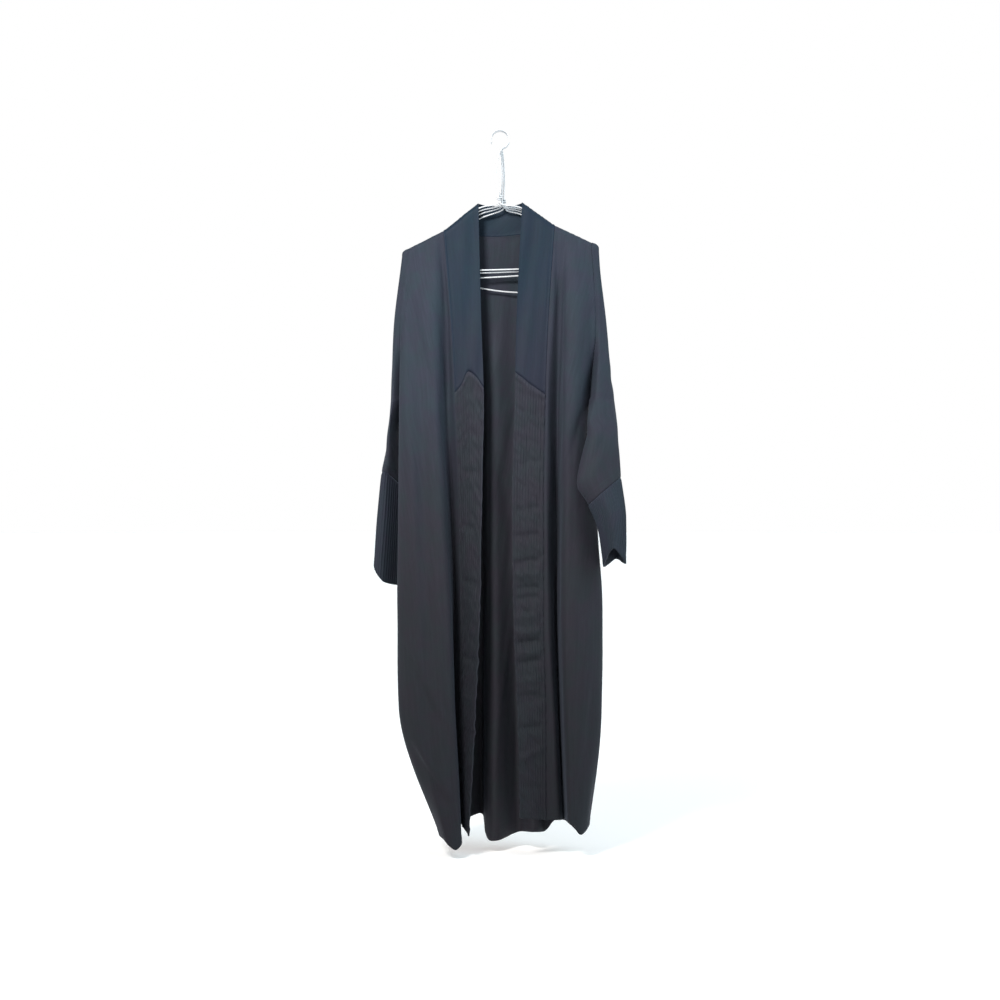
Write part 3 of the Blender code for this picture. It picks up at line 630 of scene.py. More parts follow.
def front_points(side: Side) -> np.ndarray:
    """Front panel from the band seam to the side.

    Args:
        side: which front.

    Returns:
        A grid of points in metres.
    """
    lines, ends = section_lines(FRONT[side], FOLD_STEPS)
    count = lines.shape[1]
    join = BAND_JOIN[side][0]
    shares = np.arange(count) / (count - 1)
    return np.array([hanging_column(ridge_point(side, 1 + share), Face.FRONT, lines[:, index],
                                    join + (LEVELS["underarm"] - join) * share, ends[index])
                     for index, share in enumerate(shares)])


def band_points(side: Side) -> np.ndarray:
    """Whole front band from its outer seam to its free inner edge.

    Args:
        side: which front.

    Returns:
        A grid of points in metres.
    """
    steps = TUCK_STEPS * BAND_TUCKS
    lines, ends = section_lines(BAND[side], steps)
    shares = np.arange(steps + 1) / steps
    join = through(np.linspace(0, 1, len(BAND_JOIN[side])), BAND_JOIN[side], shares)[:, 0]
    return np.array([hanging_column(ridge_point(side, 1 - share), Face.FRONT, lines[:, index],
                                    join[index], ends[index], lower=BAND_SHARES)
                     for index, share in enumerate(shares)])


def back_points() -> np.ndarray:
    """Back panel from the left side to the right side.

    Returns:
        A grid of points in metres.
    """
    lines, ends = section_lines(BACK, BACK_STEPS)
    count = lines.shape[1]
    first, last = (BACK_STEPS * fold for fold in NECK_FOLDS)
    neck = even(rounded(NECK_SEAM, NECK_STEPS), last - first)
    columns = []
    for index in range(count):
        roll = 1.0
        if index <= first:
            top = ridge_point(Side.LEFT, 2 - index / first)
        elif index >= last:
            top = ridge_point(Side.RIGHT, 1 + (index - last) / (count - 1 - last))
        else:
            top = tuple(neck[index - first])
            roll = max(0.0, 1 - top[1] / ROLL_RADIUS)
        columns.append(hanging_column(top, Face.BACK, lines[:, index], LEVELS["underarm"], ends[index],
                                      roll))
    return np.array(columns)


def corner_paths(side: Side, first: str, last: str, count: int, crotch: Place | None = None) -> np.ndarray:
    """The sleeve's four corners between two named sections.

    Args:
        side: which sleeve.
        first, last: names of the sections.
        count: stretches between them.
        crotch: where the underarm seam starts, in place of the table's corner.

    Returns:
        count + 1 rows of four corners.
    """
    rows = [row for row in SLEEVE[side] if row.name != "chest"]
    names = [row.name for row in rows]
    corners = np.array([(row.inner, row.front, row.outer, row.back) for row in rows], float)
    if crotch is not None:
        corners[0, 0] = crotch
    places = np.linspace(names.index(first), names.index(last), count + 1)
    flat = corners.reshape(len(rows), -1)
    return through(np.arange(len(rows)), flat, places).reshape(count + 1, 4, 3)


def seam_level(ring: np.ndarray, side: Side) -> np.ndarray:
    """How far a ring is from the level cut of the cuff seam.

    Args:
        ring: points round the sleeve, in millimetres.
        side: which sleeve.

    Returns:
        The rise that brings each point to the cut.
    """
    section = next(row for row in SLEEVE[side] if row.name == "cuff_seam")
    inner, outer = np.array(section.inner, float), np.array(section.outer, float)
    run = (outer - inner)[:2]
    share = (ring[:, :2] - inner[:2]) @ run / (run @ run)
    return inner[2] + (outer[2] - inner[2]) * share - ring[:, 2]


def sleeve_points(side: Side, front_edge: np.ndarray, back_edge: np.ndarray) -> np.ndarray:
    """Sleeve from its cap to the cuff seam.

    Args:
        side: which sleeve.
        front_edge, back_edge: the armhole's edges on the front and the back, in metres.

    Returns:
        A grid of points in metres, its last column on its first below the armhole.
    """
    tip = RIDGE[side].tip
    sign = side.value
    chest, underarm = (np.array((row.inner, row.front, row.outer, row.back), float)
                       for row in SLEEVE[side][:2])
    swells = np.sin(np.radians(np.interp(ROLL_PLACES, ROLL_KNOTS, CAP_ANGLES)))
    cap_z = tip[1] - ROLL_RADIUS
    knots = [-cap_z, -LEVELS["chest"], -LEVELS["underarm"]]
    rows = []
    for index in range(TO_UNDERARM - 1):
        front, back = front_edge[index] / MM, back_edge[index] / MM
        height = front[2]
        swell = max(CAP_LEAST, swells[index]) if index < len(swells) else 1.0
        droop = CAP_SLOPE * CAP_BULGE * swell * (1 - swell)
        cap = np.array([(tip[0] + sign * CAP_BULGE * swell, y * swell, height - droop)
                        for y in (-CAP_HALF_WIDTH, 0, CAP_HALF_WIDTH)])
        if height < cap_z:
            values = np.array([path.ravel() for path in (cap, chest[1:], underarm[1:])])
            cap = through(knots, values, -height).reshape(3, 3)
            cap[:, 2] = height
        rows.append(rounded([front, *cap, back], SLEEVE_STEPS))
    crotch = tuple((front_edge[TO_UNDERARM - 1] + back_edge[TO_UNDERARM - 1]) / 2 / MM)
    corners = corner_paths(side, "underarm", "cuff_seam", TUBE_ROWS, crotch)
    rings = [rounded(four, SLEEVE_STEPS, closed=True) for four in corners]
    level = seam_level(rings[-1], side)
    for index, ring in enumerate(rings):
        ring[:, 2] += level * max(0.0, 1 - (1 - index / TUBE_ROWS) * COARSE_TUBE)
    return np.array(rows + rings).transpose(1, 0, 2) * MM


def cuff_points(side: Side) -> np.ndarray:
    """Cuff from its seam to its opening, its columns spread evenly round it.

    Args:
        side: which sleeve.

    Returns:
        A grid of points in metres.
    """
    corners = corner_paths(side, "cuff_seam", "opening", CUFF_ROWS)
    rings = [even(rounded(four, RING_STEPS, closed=True), TUCK_STEPS * CUFF_TUCKS) for four in corners]
    level = seam_level(rings[0], side)
    for index, ring in enumerate(rings):
        ring[:, 2] += level * max(0.0, 1 - index / CUFF_ROWS * COARSE_CUFF)
    return np.array(rings).transpose(1, 0, 2) * MM


def tucks(columns: int, fullness: float = 0.0) -> np.ndarray:
    """Pin-tucks over the columns of a piece.

    Args:
        columns: how many it has.
        fullness: how much the tucks' tops are widened, in place of the valleys between them.

    Returns:
        0 between the tucks and 1 on top of them, for each column.
    """
    turn = np.arange(columns)[:, None] / TUCK_STEPS
    turn = turn + fullness * np.sin(2 * np.pi * turn)
    return (0.5 - 0.5 * np.cos(2 * np.pi * turn)) ** TUCK_SHARPNESS


# ---------------------------------------------------------------- pieces of the cloak
class Draw(Enum):
    """What is added to a piece's seed, so that each kind of unevenness has its own pattern."""

    WAVES = 0
    COCKLES = 3
    PUCKERS = 5
    TUCKS = 9


@dataclass(frozen=True)
class Sewn:
    """Which edges of a piece are sewn to another."""

    first: bool = False
    last: bool = False
    top: bool = False
    bottom: bool = False


@dataclass
class ClothPiece:
    """A piece of cloth: where it hangs, the size it was cut to and what is sewn into it."""

    node: str
    slot: Slot
    flat: Spot                   # cut size in metres, width by length
    area: float                  # square metres of the cut
    seed: int
    sewn: Sewn = Sewn()
    creases: tuple[Crease, ...] = ()
    rests_on: tuple[str, ...] = ()   # the pieces that it hangs from
    wall: float = 1.5 * MM       # thickness of the cloth
    unevenness: float = 0.7 * MM     # height of its gentle waves
    wave_size: Spot = (0.06, 0.34)   # their usual lengths across and along, in metres
    seam_dip: float = 0.9 * MM   # depth of the hollow along a seam
    seam_width: float = 2.2 * MM
    seam_calm: float = 6.0       # seam widths over which creases and waves die out
    pucker: float = 0.28 * MM    # height of the small gathers beside a seam
    pucker_pitch: float = 11 * MM
    pucker_reach: float = 3.0    # seam widths that the puckers reach
    hem_fold: float = 0.0        # depth of the turned hem in metres, 0 for none
    hem_inside: float = 0.9 * MM     # thickness that the turned hem adds behind
    hem_outside: float = 0.35 * MM   # and in front
    hem_groove: float = 0.5 * MM     # dip along its stitches
    hem_groove_width: float = 1.2 * MM
    hem_step: Spot = (-1.5 * MM, 0.5 * MM)   # from the fold's edge, where its thickness sets in

    def uneven(self, draw: Draw, across: np.ndarray, along: np.ndarray, size: Spot) -> np.ndarray:
        """One kind of unevenness, drawn from the piece's own seed."""
        return waves(self.seed + draw.value, across, along, size)

    def shape(self) -> Sheet:
        """The piece's middle surface."""
        raise NotImplementedError

    def relief(self, sheet: Sheet) -> np.ndarray:
        """Metres that the outer face stands proud of the plain wall."""
        return np.zeros(sheet.points.shape[:2])

    def lift(self, sheet: Sheet) -> np.ndarray:
        """How far creases, seams and unevenness move each point.

        Args:
            sheet: the smooth surface.

        Returns:
            Metres out of the cloth.
        """
        first, last, top, hem = sheet.spans()
        total = self.unevenness * self.uneven(Draw.WAVES, first, top, self.wave_size)
        normals = sheet.normals()
        for crease in self.creases:
            total = total + crease.lift(sheet.points, normals)
        edges = ((self.sewn.first, first, top), (self.sewn.last, last, top),
                 (self.sewn.top, top, first), (self.sewn.bottom, hem, first))
        for is_sewn, away, along in edges:
            if is_sewn:
                calm = ease(away, 0.0, self.seam_calm * self.seam_width)
                total = total * calm - self.seam_dip * bell(away, self.seam_width)
                puckers = self.uneven(Draw.PUCKERS, along, away, (self.pucker_pitch, 1.0))
                total = total + self.pucker * puckers \
                    * bell(away, self.pucker_reach * self.seam_width) * ease(away, 0, self.seam_width)
        return total

    def faces(self, sheet: Sheet) -> tuple[np.ndarray, np.ndarray]:
        """How thick the piece is on either side of its middle surface.

        Args:
            sheet: the middle surface.

        Returns:
            Metres to the outer and to the inner face, for each point.
        """
        half = np.full(sheet.points.shape[:2], self.wall / 2)
        outside, inside = half + self.relief(sheet), half.copy()
        if self.hem_fold:
            hem = sheet.spans()[3]
            start, finish = self.hem_step
            folded = 1 - ease(hem, self.hem_fold + start, self.hem_fold + finish)
            inside = inside + self.hem_inside * folded
            outside = outside + self.hem_outside * folded \
                - self.hem_groove * bell(hem - self.hem_fold, self.hem_groove_width)
        return outside, inside

    def build(self, finish: bpy.types.Material) -> bpy.types.Object:
        """Make the piece, dress it and hang it on the frame.

        Args:
            finish: its material.

        Returns:
            The new object.
        """
        sheet = self.shape()
        sheet.move(self.lift(sheet))
        piece = cloth_mesh(f"cloth_{self.node}", sheet, *self.faces(sheet))
        piece.data.materials.append(finish)
        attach(piece, BODY)
        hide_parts(self.node)
        first, _, top, _ = sheet.spans()
        LOG.info("%s: %d points, %.3f m2 of cloth, %.3f by %.3f m", piece.name, len(piece.data.vertices),
                 sheet.area(), first.max(), top.max())
        return piece


@dataclass
class FrontPanel(ClothPiece):
    """One front, from the band seam to the side seam and the armhole."""

    side: Side = Side.LEFT

    def shape(self) -> Sheet:
        """The front's middle surface."""
        return Sheet(front_points(self.side), flipped=self.side is Side.RIGHT)


@dataclass
class BackPanel(ClothPiece):
    """The back, from one side seam to the other."""

    def shape(self) -> Sheet:
        """The back's middle surface."""
        return Sheet(back_points())


@dataclass
class BandPiece(ClothPiece):
    """One length of a front band: its smooth upper part or its tucked lower part."""

    side: Side = Side.LEFT
    tucked: bool = False
    tuck_height: float = 0.75 * MM
    seam_dip: float = 0.1 * MM
    tuck_fullness: float = 0.07
    tuck_start: float = 4 * MM   # distance from the join at which the tucks have their full height
    stretch: float = 0.45        # how unevenly the tucks stand up
    stretch_size: Spot = (0.02, 0.05)
    edge_fold: float = 3.4 * MM  # the turned outer edge that is stitched down
    edge_lift: float = 0.8 * MM
    edge_step: float = 1 * MM    # half the width over which its thickness sets in
    free_edge: float = 0.45 * MM     # swell of the rolled inner edge
    free_edge_width: float = 1.6 * MM
    head: float = 1.8 * MM       # swell of the tucked cloth just below the join
    head_place: float = 7 * MM
    head_width: float = 5.5 * MM
    cockle: float = 0.8 * MM     # small cross ripples that the tucks pull in
    cockle_size: Spot = (0.07, 0.028)

    def shape(self) -> Sheet:
        """This length's part of the band's middle surface.

        Returns:
            The sheet, before its creases.
        """
        points = band_points(self.side)
        rows = slice(TO_UNDERARM - 1, None) if self.tucked else slice(0, TO_UNDERARM)
        return Sheet(points[:, rows].copy(), flipped=self.side is Side.LEFT)

    def lift(self, sheet: Sheet) -> np.ndarray:
        """Creases and seams, with the swell below the join.

        Args:
            sheet: the smooth surface.

        Returns:
            Metres out of the cloth.
        """
        total = super().lift(sheet)
        first, _, top, _ = sheet.spans()
        if self.tucked:
            total = total + self.head * bell(top - self.head_place, self.head_width)
            total = total + self.cockle * self.uneven(Draw.COCKLES, first, top, self.cockle_size)
        flat = ease(first, self.edge_fold - self.edge_step, self.edge_fold + self.edge_step)
        return total + self.edge_lift * (1 - flat)

    def relief(self, sheet: Sheet) -> np.ndarray:
        """Pin-tucks, the stitched edge and the rolled free edge.

        Args:
            sheet: the middle surface.

        Returns:
            Metres that the outer face stands proud.
        """
        first, last, top, _ = sheet.spans()
        height = self.free_edge * bell(last, self.free_edge_width)
        if self.tucked:
            ridge = tucks(sheet.points.shape[0], self.tuck_fullness)
            stretch = 1 + self.stretch * self.uneven(Draw.TUCKS, first, top, self.stretch_size)
            height = height + self.tuck_height * ridge * stretch * ease(top, 0, self.tuck_start)
        return height


@dataclass
class NeckBand(ClothPiece):
    """The band round the back of the neck, from shoulder to shoulder."""

    rows: int = 26
    columns: int = 96

    def shape(self) -> Sheet:
        """The neck band's middle surface, its rows running up from the neck seam.

        Returns:
            The sheet, before its seams.
        """
        seam = even(rounded(NECK_SEAM, NECK_STEPS), self.columns)
        top = even(rounded(NECK_TOP, NECK_STEPS), self.columns)
        shares = np.linspace(0, 1, self.rows + 1)[None, :, None]
        return Sheet((seam[:, None] * (1 - shares) + top[:, None] * shares) * MM, flipped=True)


@dataclass
class SleevePiece(ClothPiece):
    """One sleeve, from the armhole to the cuff seam."""

    side: Side = Side.LEFT

    def shape(self) -> Sheet:
        """The sleeve's middle surface.

        Returns:
            The sheet, before its creases.
        """
        front, back = front_points(self.side), back_points()
        edge = back[0] if self.side is Side.LEFT else back[-1]
        return Sheet(sleeve_points(self.side, front[-1], edge), closed_from=TO_UNDERARM - 1,
                     flipped=self.side is Side.RIGHT)


@dataclass
class CuffPiece(ClothPiece):
    """One pin-tucked cuff."""

    side: Side = Side.LEFT
    tuck_height: float = 1.1 * MM
    tuck_start: float = 4 * MM   # distance from the seam at which the tucks have their full height

    def shape(self) -> Sheet:
        """The cuff's middle surface."""
        return Sheet(cuff_points(self.side), closed_from=0, flipped=self.side is Side.RIGHT)

    def relief(self, sheet: Sheet) -> np.ndarray:
        """Pin-tucks that run down the cuff."""
        top = sheet.spans()[2]
        return self.tuck_height * tucks(sheet.points.shape[0]) * ease(top, 0, self.tuck_start)


# ---------------------------------------------------------------- shader maths
Number = Union["Value", float]
BAND_FLAT = 0.35                 # share of a stitch line's half width that is at full strength
EDGE_FLAT = 0.3                  # and of a worn edge's width


@dataclass(frozen=True)
class Value:
    """A number that changes over a surface; operators on it add Math nodes."""

    graph: "Graph"
    socket: bpy.types.NodeSocket

    def _math(self, operation: str, *numbers: Number) -> "Value":
        """A Math node on some numbers."""
        made = self.graph.node("ShaderNodeMath", {"operation": operation}, dict(enumerate(numbers)))
        return Value(self.graph, made.outputs[0])

    def __add__(self, other: Number) -> "Value":
        """self + other."""
        return self._math("ADD", self, other)

    __radd__ = __add__

    def __mul__(self, other: Number) -> "Value":
        """self * other."""
        return self._math("MULTIPLY", self, other)

    __rmul__ = __mul__

    def __sub__(self, other: Number) -> "Value":
        """self - other."""
        return self._math("SUBTRACT", self, other)

    def __rsub__(self, other: Number) -> "Value":
        """other - self."""
        return self._math("SUBTRACT", other, self)

    def __abs__(self) -> "Value":
        """The distance from zero."""
        return self._math("ABSOLUTE", self)

    def sine(self) -> "Value":
        """Its sine, from -1 to 1."""
        return self._math("SINE", self)

    def most(self, other: Number) -> "Value":
        """The larger of the two."""
        return self._math("MAXIMUM", self, other)

    def step(self, low: float, high: float) -> "Value":
        """A smooth step.

        Args:
            low: the value where it is 0.
            high: the value where it is 1.

        Returns:
            The step.
        """
        made = self.graph.node("ShaderNodeMapRange", {"interpolation_type": "SMOOTHSTEP"},
                               {"Value": self, "From Min": low, "From Max": high})
        return Value(self.graph, made.outputs[0])

    def band(self, place: float, width: float) -> "Value":
        """1 at a place, 0 past a width from it."""
        return 1 - abs(self - place).step(BAND_FLAT * width, width)

    def edge(self, width: float) -> "Value":
        """1 at an edge, 0 past a width from it."""
        return 1 - self.step(EDGE_FLAT * width, width)

    def half(self) -> "Value":
        """From -1 to 1 brought to 0 to 1."""
        return self * 0.5 + 0.5

    def about_one(self, depth: float) -> "Value":
        """A factor that goes up and down about 1 by a depth in all, where the value goes from 0 to 1."""
        return self * depth + (1 - depth / 2)


class Mixing(Enum):
    """How two colours are put together."""

    MIX = "MIX"
    MULTIPLY = "MULTIPLY"


@dataclass(frozen=True)
class Noise:
    """Soft noise over a surface."""

    scale: float                 # patches to a metre, 1 for cloth noise
    detail: float = 3.0
    rough: float = 0.55
    stretch: Spot = (1.0, 1.0)   # cloth noise's patches to a metre, across and along
    depth: float = 0.0           # by how much it lightens and darkens the cloth, in all


ClothPlaces = tuple[Value, Value, Value, Value]


@dataclass
class Graph:
    """The nodes of one material or of the surroundings."""

    owner: bpy.types.Material | bpy.types.World

    def node(self, kind: str, settings: dict[str, Any] | None = None,
             inputs: dict[Any, Any] | None = None) -> bpy.types.Node:
        """Add a node.

        Args:
            kind: its type.
            settings: what it is set to, before its sockets.
            inputs: a value or a link for each socket, by name or number.

        Returns:
            The node.
        """
        made = self.owner.node_tree.nodes.new(kind)
        for name, setting in (settings or {}).items():
            setattr(made, name, setting)
        self.feed(made, inputs or {})
        return made

    def feed(self, node: bpy.types.Node, inputs: dict[Any, Any]) -> None:
        """Set a node's sockets to values, or link them to values' sockets.

        Args:
            node: the node.
            inputs: a value or a link for each socket, by name or number.
        """
        for name, given in inputs.items():
            given = given.socket if isinstance(given, Value) else given
            if isinstance(given, bpy.types.NodeSocket):
                self.owner.node_tree.links.new(given, node.inputs[name])
            else:
                node.inputs[name].default_value = given

    def parts(self, vector: bpy.types.NodeSocket) -> tuple[Value, Value, Value]:
        """The three parts of a vector."""
        split = self.node("ShaderNodeSeparateXYZ", None, {0: vector})
        return tuple(Value(self, socket) for socket in split.outputs)

    def where(self) -> bpy.types.NodeSocket:
        """The place in the part's frame, in metres."""
        return self.node("ShaderNodeTexCoord").outputs["Object"]

    def cloth_places(self) -> ClothPlaces:
        """How far a place is from the edges of its piece.

        Returns:
            Metres from the first edge, from the hem, from the last edge and from the top.
        """
        found = []
        for label in (CLOTH_MAP, EDGE_MAP):
            spot = self.node("ShaderNodeUVMap", {"uv_map": label}).outputs[0]
            found += self.parts(spot)[:2]
        return tuple(found)

    def point(self, x: Number, y: Number, z: Number = 0.0) -> bpy.types.NodeSocket:
        """A vector of three numbers."""
        return self.node("ShaderNodeCombineXYZ", None, {0: x, 1: y, 2: z}).outputs[0]

    def noise(self, where: bpy.types.NodeSocket, noise: Noise) -> Value:
        """Soft noise.

        Args:
            where: the place.
            noise: its kind.

        Returns:
            A value from 0 to 1.
        """
        made = self.node("ShaderNodeTexNoise", None, {"Vector": where, "Scale": noise.scale,
                                                      "Detail": noise.detail, "Roughness": noise.rough})
        return Value(self, made.outputs["Fac"])

    def cloth_noise(self, places: ClothPlaces, noise: Noise) -> Value:
        """Soft noise from 0 to 1 that lies in the cloth and is stretched along its threads."""
        across, along = noise.stretch
        return self.noise(self.point(places[0] * across, places[1] * along), noise)

    def blend(self, share: Number, first: Any, second: Any, how: Mixing = Mixing.MIX) -> bpy.types.NodeSocket:
        """Two colours put together.

        Args:
            share: how much the second one counts.
            first, second: the colours, as numbers or sockets.
            how: mixed or multiplied.

        Returns:
            The colour's socket.
        """
        made = self.node("ShaderNodeMix", {"data_type": "RGBA", "blend_type": how.value},
                         {0: share, 6: first, 7: second})
        return made.outputs[2]

    def bump(self, relief: Value, strength: float, depth: float) -> bpy.types.NodeSocket:
        """The normal of a fine relief.

        Args:
            relief: its height, from 0 to about 1.
            strength: how strongly it shows.
            depth: metres for a relief of 1.

        Returns:
            The normal's socket.
        """
        return self.node("ShaderNodeBump", None,
                         {"Strength": strength, "Distance": depth, "Height": relief}).outputs[0]


def new_finish(name: str) -> tuple[Graph, bpy.types.Node]:
    """Start a material.

    Args:
        name: its name.

    Returns:
        Its graph and its main shader.
    """
    material = bpy.data.materials.new(name)
    material.use_nodes = True
    return Graph(material), material.node_tree.nodes["Principled BSDF"]


Colour = tuple[float, float, float, float]
WHITE: Colour = (1, 1, 1, 1)


@dataclass(frozen=True)
class Fabric:
    """A woven cloth: its colours with painted light and shade, its threads and the stitching along its edges.
    """

    name: str
    upper: Colour                # colour near the shoulders; what sets it off from the lower one is painted light and shade
    lower: Colour                # colour towards the hem
    thread: float = 0.42 * MM    # spacing of the threads
    twill: float = 0.0           # strength of diagonal twill lines, 0 for plain crepe
    crinkle: float = 0.5         # strength of fine crinkles along the warp
    painted_hem_shade: float = 0.57      # painted shade: how dark the cloth turns towards the hem
    lower_z: float = -1.05       # heights between which one colour turns into the other
    upper_z: float = -0.28
    tint: float = 0.060          # how far the colour drifts between violet and teal
    sheen: float = 0.06
    roughness: float = 0.78
    stitch_first: tuple[float, ...] = ()     # stitch lines, metres from the first edge
    stitch_last: tuple[float, ...] = ()
    stitch_top: tuple[float, ...] = ()
    stitch_hem: tuple[float, ...] = ()
    light_first: float = 0.0     # paler edges, as wide as this: painted highlight and wear
    light_last: float = 0.0
    light_top: float = 0.0
    edge_gain: float = 0.55      # how much paler the side edges are
    top_gain: float = 0.55       # and the top edge
    stitch_length: float = 3.2 * MM
    stitch_width: float = 0.55 * MM
    stitch_gap: Spot = (-0.55, -0.2)     # the sine's values between which a stitch ends
    stitch_gain: float = 0.35    # how much paler a stitch is
    blotches: Noise = Noise(9.0, 4.0, 0.6, depth=0.28)
    clouds: Noise = Noise(2.6, 2.0, 0.5)
    cloud_reach: float = 0.5     # metres up and down that the clouds move the change of colour, in all
    drift: Noise = Noise(21.0, 3.0, 0.65)
    drift_ends: Spot = (0.36, 0.64)      # the noise where it is all violet and all teal
    shade_z: Spot = (-1.5, -0.6)         # heights between which the painted shade towards the hem sets in
    warp_grain: Noise = Noise(1.0, 4.0, 0.65, (520.0, 26.0), 0.32)
    fine_grain: Noise = Noise(1.0, 2.0, 0.5, (1400.0, 900.0))
    streaks: Noise = Noise(1.0, 3.0, 0.6, (190.0, 8.0), 0.44)
    weave_depth: float = 0.14    # by how much the threads lighten and darken the cloth, in all
    twill_pitch: float = 3.2     # threads from one diagonal line to the next
    weave_relief: float = 0.10   # heights in the relief, where crinkle is the warp grain's
    fine_relief: float = 0.12
    stitch_relief: float = 0.9
    relief: Spot = (0.55, 0.6 * MM)      # strength and depth of the relief
    blotch_roughness: float = 0.12
    grain_roughness: float = 0.08
    violet: Place = (1.0, -1.0, 0.4)     # what the tint adds to red, green and blue
    teal: Place = (-1.0, 0.7, 0.2)

    def stitches(self, places: ClothPlaces) -> Value:
        """Where the stitches lie.

        Args:
            places: distances from the piece's edges.

        Returns:
            1 on a thread and 0 off it.
        """
        first, hem, last, top = places
        lines = [(first, top, place) for place in self.stitch_first]
        lines += [(last, top, place) for place in self.stitch_last]
        lines += [(top, first, place) for place in self.stitch_top]
        lines += [(hem, first, place) for place in self.stitch_hem]
        total = first * 0.0
        for away, along, place in lines:
            dash = (along * (2 * math.pi / self.stitch_length)).sine().step(*self.stitch_gap)
            total = total.most(away.band(place, self.stitch_width) * dash)
        return total

    def weave(self, places: ClothPlaces) -> Value:
        """The threads' ups and downs, with diagonal lines where the cloth is a twill.

        Args:
            places: distances from the piece's edges.

        Returns:
            A value from 0 to 1.
        """
        first, hem = places[:2]
        turn = 2 * math.pi / self.thread
        woven = ((first * turn).sine() * (hem * turn).sine()).half()
        if self.twill:
            diagonal = ((first + hem) * (2 * math.pi / (self.twill_pitch * self.thread))).sine().half()
            woven = woven * (1 - self.twill) + diagonal * self.twill
        return woven

    def highlit_and_worn_edges(self, places: ClothPlaces) -> Value:
        """How much paler the cloth is along its edges: painted highlight and wear.

        Args:
            places: distances from the piece's edges.

        Returns:
            The share by which it is paler, 0 away from the edges.
        """
        first, _, last, top = places
        pale = first * 0.0
        for away, width, gain in ((first, self.light_first, self.edge_gain),
                                  (last, self.light_last, self.edge_gain),
                                  (top, self.light_top, self.top_gain)):
            if width:
                pale = pale.most(away.edge(width) * gain)
        return pale

    def plain_colour(self, graph: Graph, where: bpy.types.NodeSocket, z: Value) -> bpy.types.NodeSocket:
        """The cloth's colour, which turns with the height as painted light and shade, and drifts between
        violet and teal.

        Args:
            graph: the material's nodes.
            where: the place.
            z: its height.

        Returns:
            The colour's socket.
        """
        clouds = graph.noise(where, self.clouds)
        # Painted light and shade: the colour turns from the lower one to the upper one with the height.
        height = (z + (clouds - 0.5) * self.cloud_reach).step(self.lower_z, self.upper_z)
        drift = graph.noise(where, self.drift).step(*self.drift_ends)
        violet, teal = ((*(1 + self.tint * part for part in hue), 1) for hue in (self.violet, self.teal))
        return graph.blend(1.0, graph.blend(height, self.lower, self.upper),
                           graph.blend(drift, violet, teal), Mixing.MULTIPLY)

    def make(self) -> bpy.types.Material:
        """Make the material and its nodes.

        Returns:
            The material.
        """
        graph, shader = new_finish(self.name)
        places, where = graph.cloth_places(), graph.where()
        _, _, z = graph.parts(where)
        blotches = graph.noise(where, self.blotches)
        warp_grain, fine_grain, streaks = (graph.cloth_noise(places, noise) for noise in
                                           (self.warp_grain, self.fine_grain, self.streaks))
        weave, stitched = self.weave(places), self.stitches(places)
        # Painted shade: the cloth darkens towards the hem by its height.
        shade = blotches.about_one(self.blotches.depth) \
            * (self.painted_hem_shade + (1 - self.painted_hem_shade) * z.step(*self.shade_z))
        shade = shade * warp_grain.about_one(self.warp_grain.depth) * weave.about_one(self.weave_depth) \
            * streaks.about_one(self.streaks.depth)
        # Paler edges: painted highlight where they catch the light, and wear.
        shade = shade * (1 + self.highlit_and_worn_edges(places)) * (1 + stitched * self.stitch_gain)
        grey = graph.node("ShaderNodeCombineColor", None, {0: shade, 1: shade, 2: shade}).outputs[0]
        height = weave * self.weave_relief + warp_grain * self.crinkle + fine_grain * self.fine_relief \
            + stitched * self.stitch_relief
        graph.feed(shader, {
            "Base Color": graph.blend(1.0, self.plain_colour(graph, where, z), grey, Mixing.MULTIPLY),
            "Roughness": self.roughness - (self.blotch_roughness + self.grain_roughness) / 2
            + blotches * self.blotch_roughness + fine_grain * self.grain_roughness,
            "Normal": graph.bump(height, *self.relief),
            "Sheen Weight": self.sheen,
            "Sheen Roughness": 0.45,
            "Sheen Tint": (0.55, 0.65, 0.85, 1),
            "Specular IOR Level": 0.14,
        })
        return graph.owner


@dataclass(frozen=True)
class Coating:
    """Glossy white vinyl on wire."""

    name: str = "white_vinyl"
    colour: Colour = (0.50, 0.51, 0.53, 1)
    dull: Colour = (0.38, 0.38, 0.37, 1)
    scuffs: Noise = Noise(60.0, 5.0, 0.7)
    film: Noise = Noise(14.0, 2.0)
    scuff_ends: Spot = (0.56, 0.72)
    wear: float = 0.6            # how far the scuffs turn to the dull colour
    roughness: Place = (0.26, 0.16, 0.3)     # where clean, and what film and wear add
    relief: Spot = (0.25, 0.3 * MM)      # strength and depth of the relief

    def make(self) -> bpy.types.Material:
        """Make the material and its nodes.

        Returns:
            The material.
        """
        graph, shader = new_finish(self.name)
        where = graph.where()
        scuffs, film = graph.noise(where, self.scuffs), graph.noise(where, self.film)
        worn = scuffs.step(*self.scuff_ends) * self.wear
        clean, filmed, scuffed = self.roughness
        graph.feed(shader, {
            "Base Color": graph.blend(worn, self.colour, self.dull),
            "Roughness": clean + film * filmed + worn * scuffed,
            "Normal": graph.bump(scuffs * 0.5 + film * 0.5, *self.relief),
            "Coat Weight": 0.35,
            "Coat Roughness": 0.2,
        })
        return graph.owner


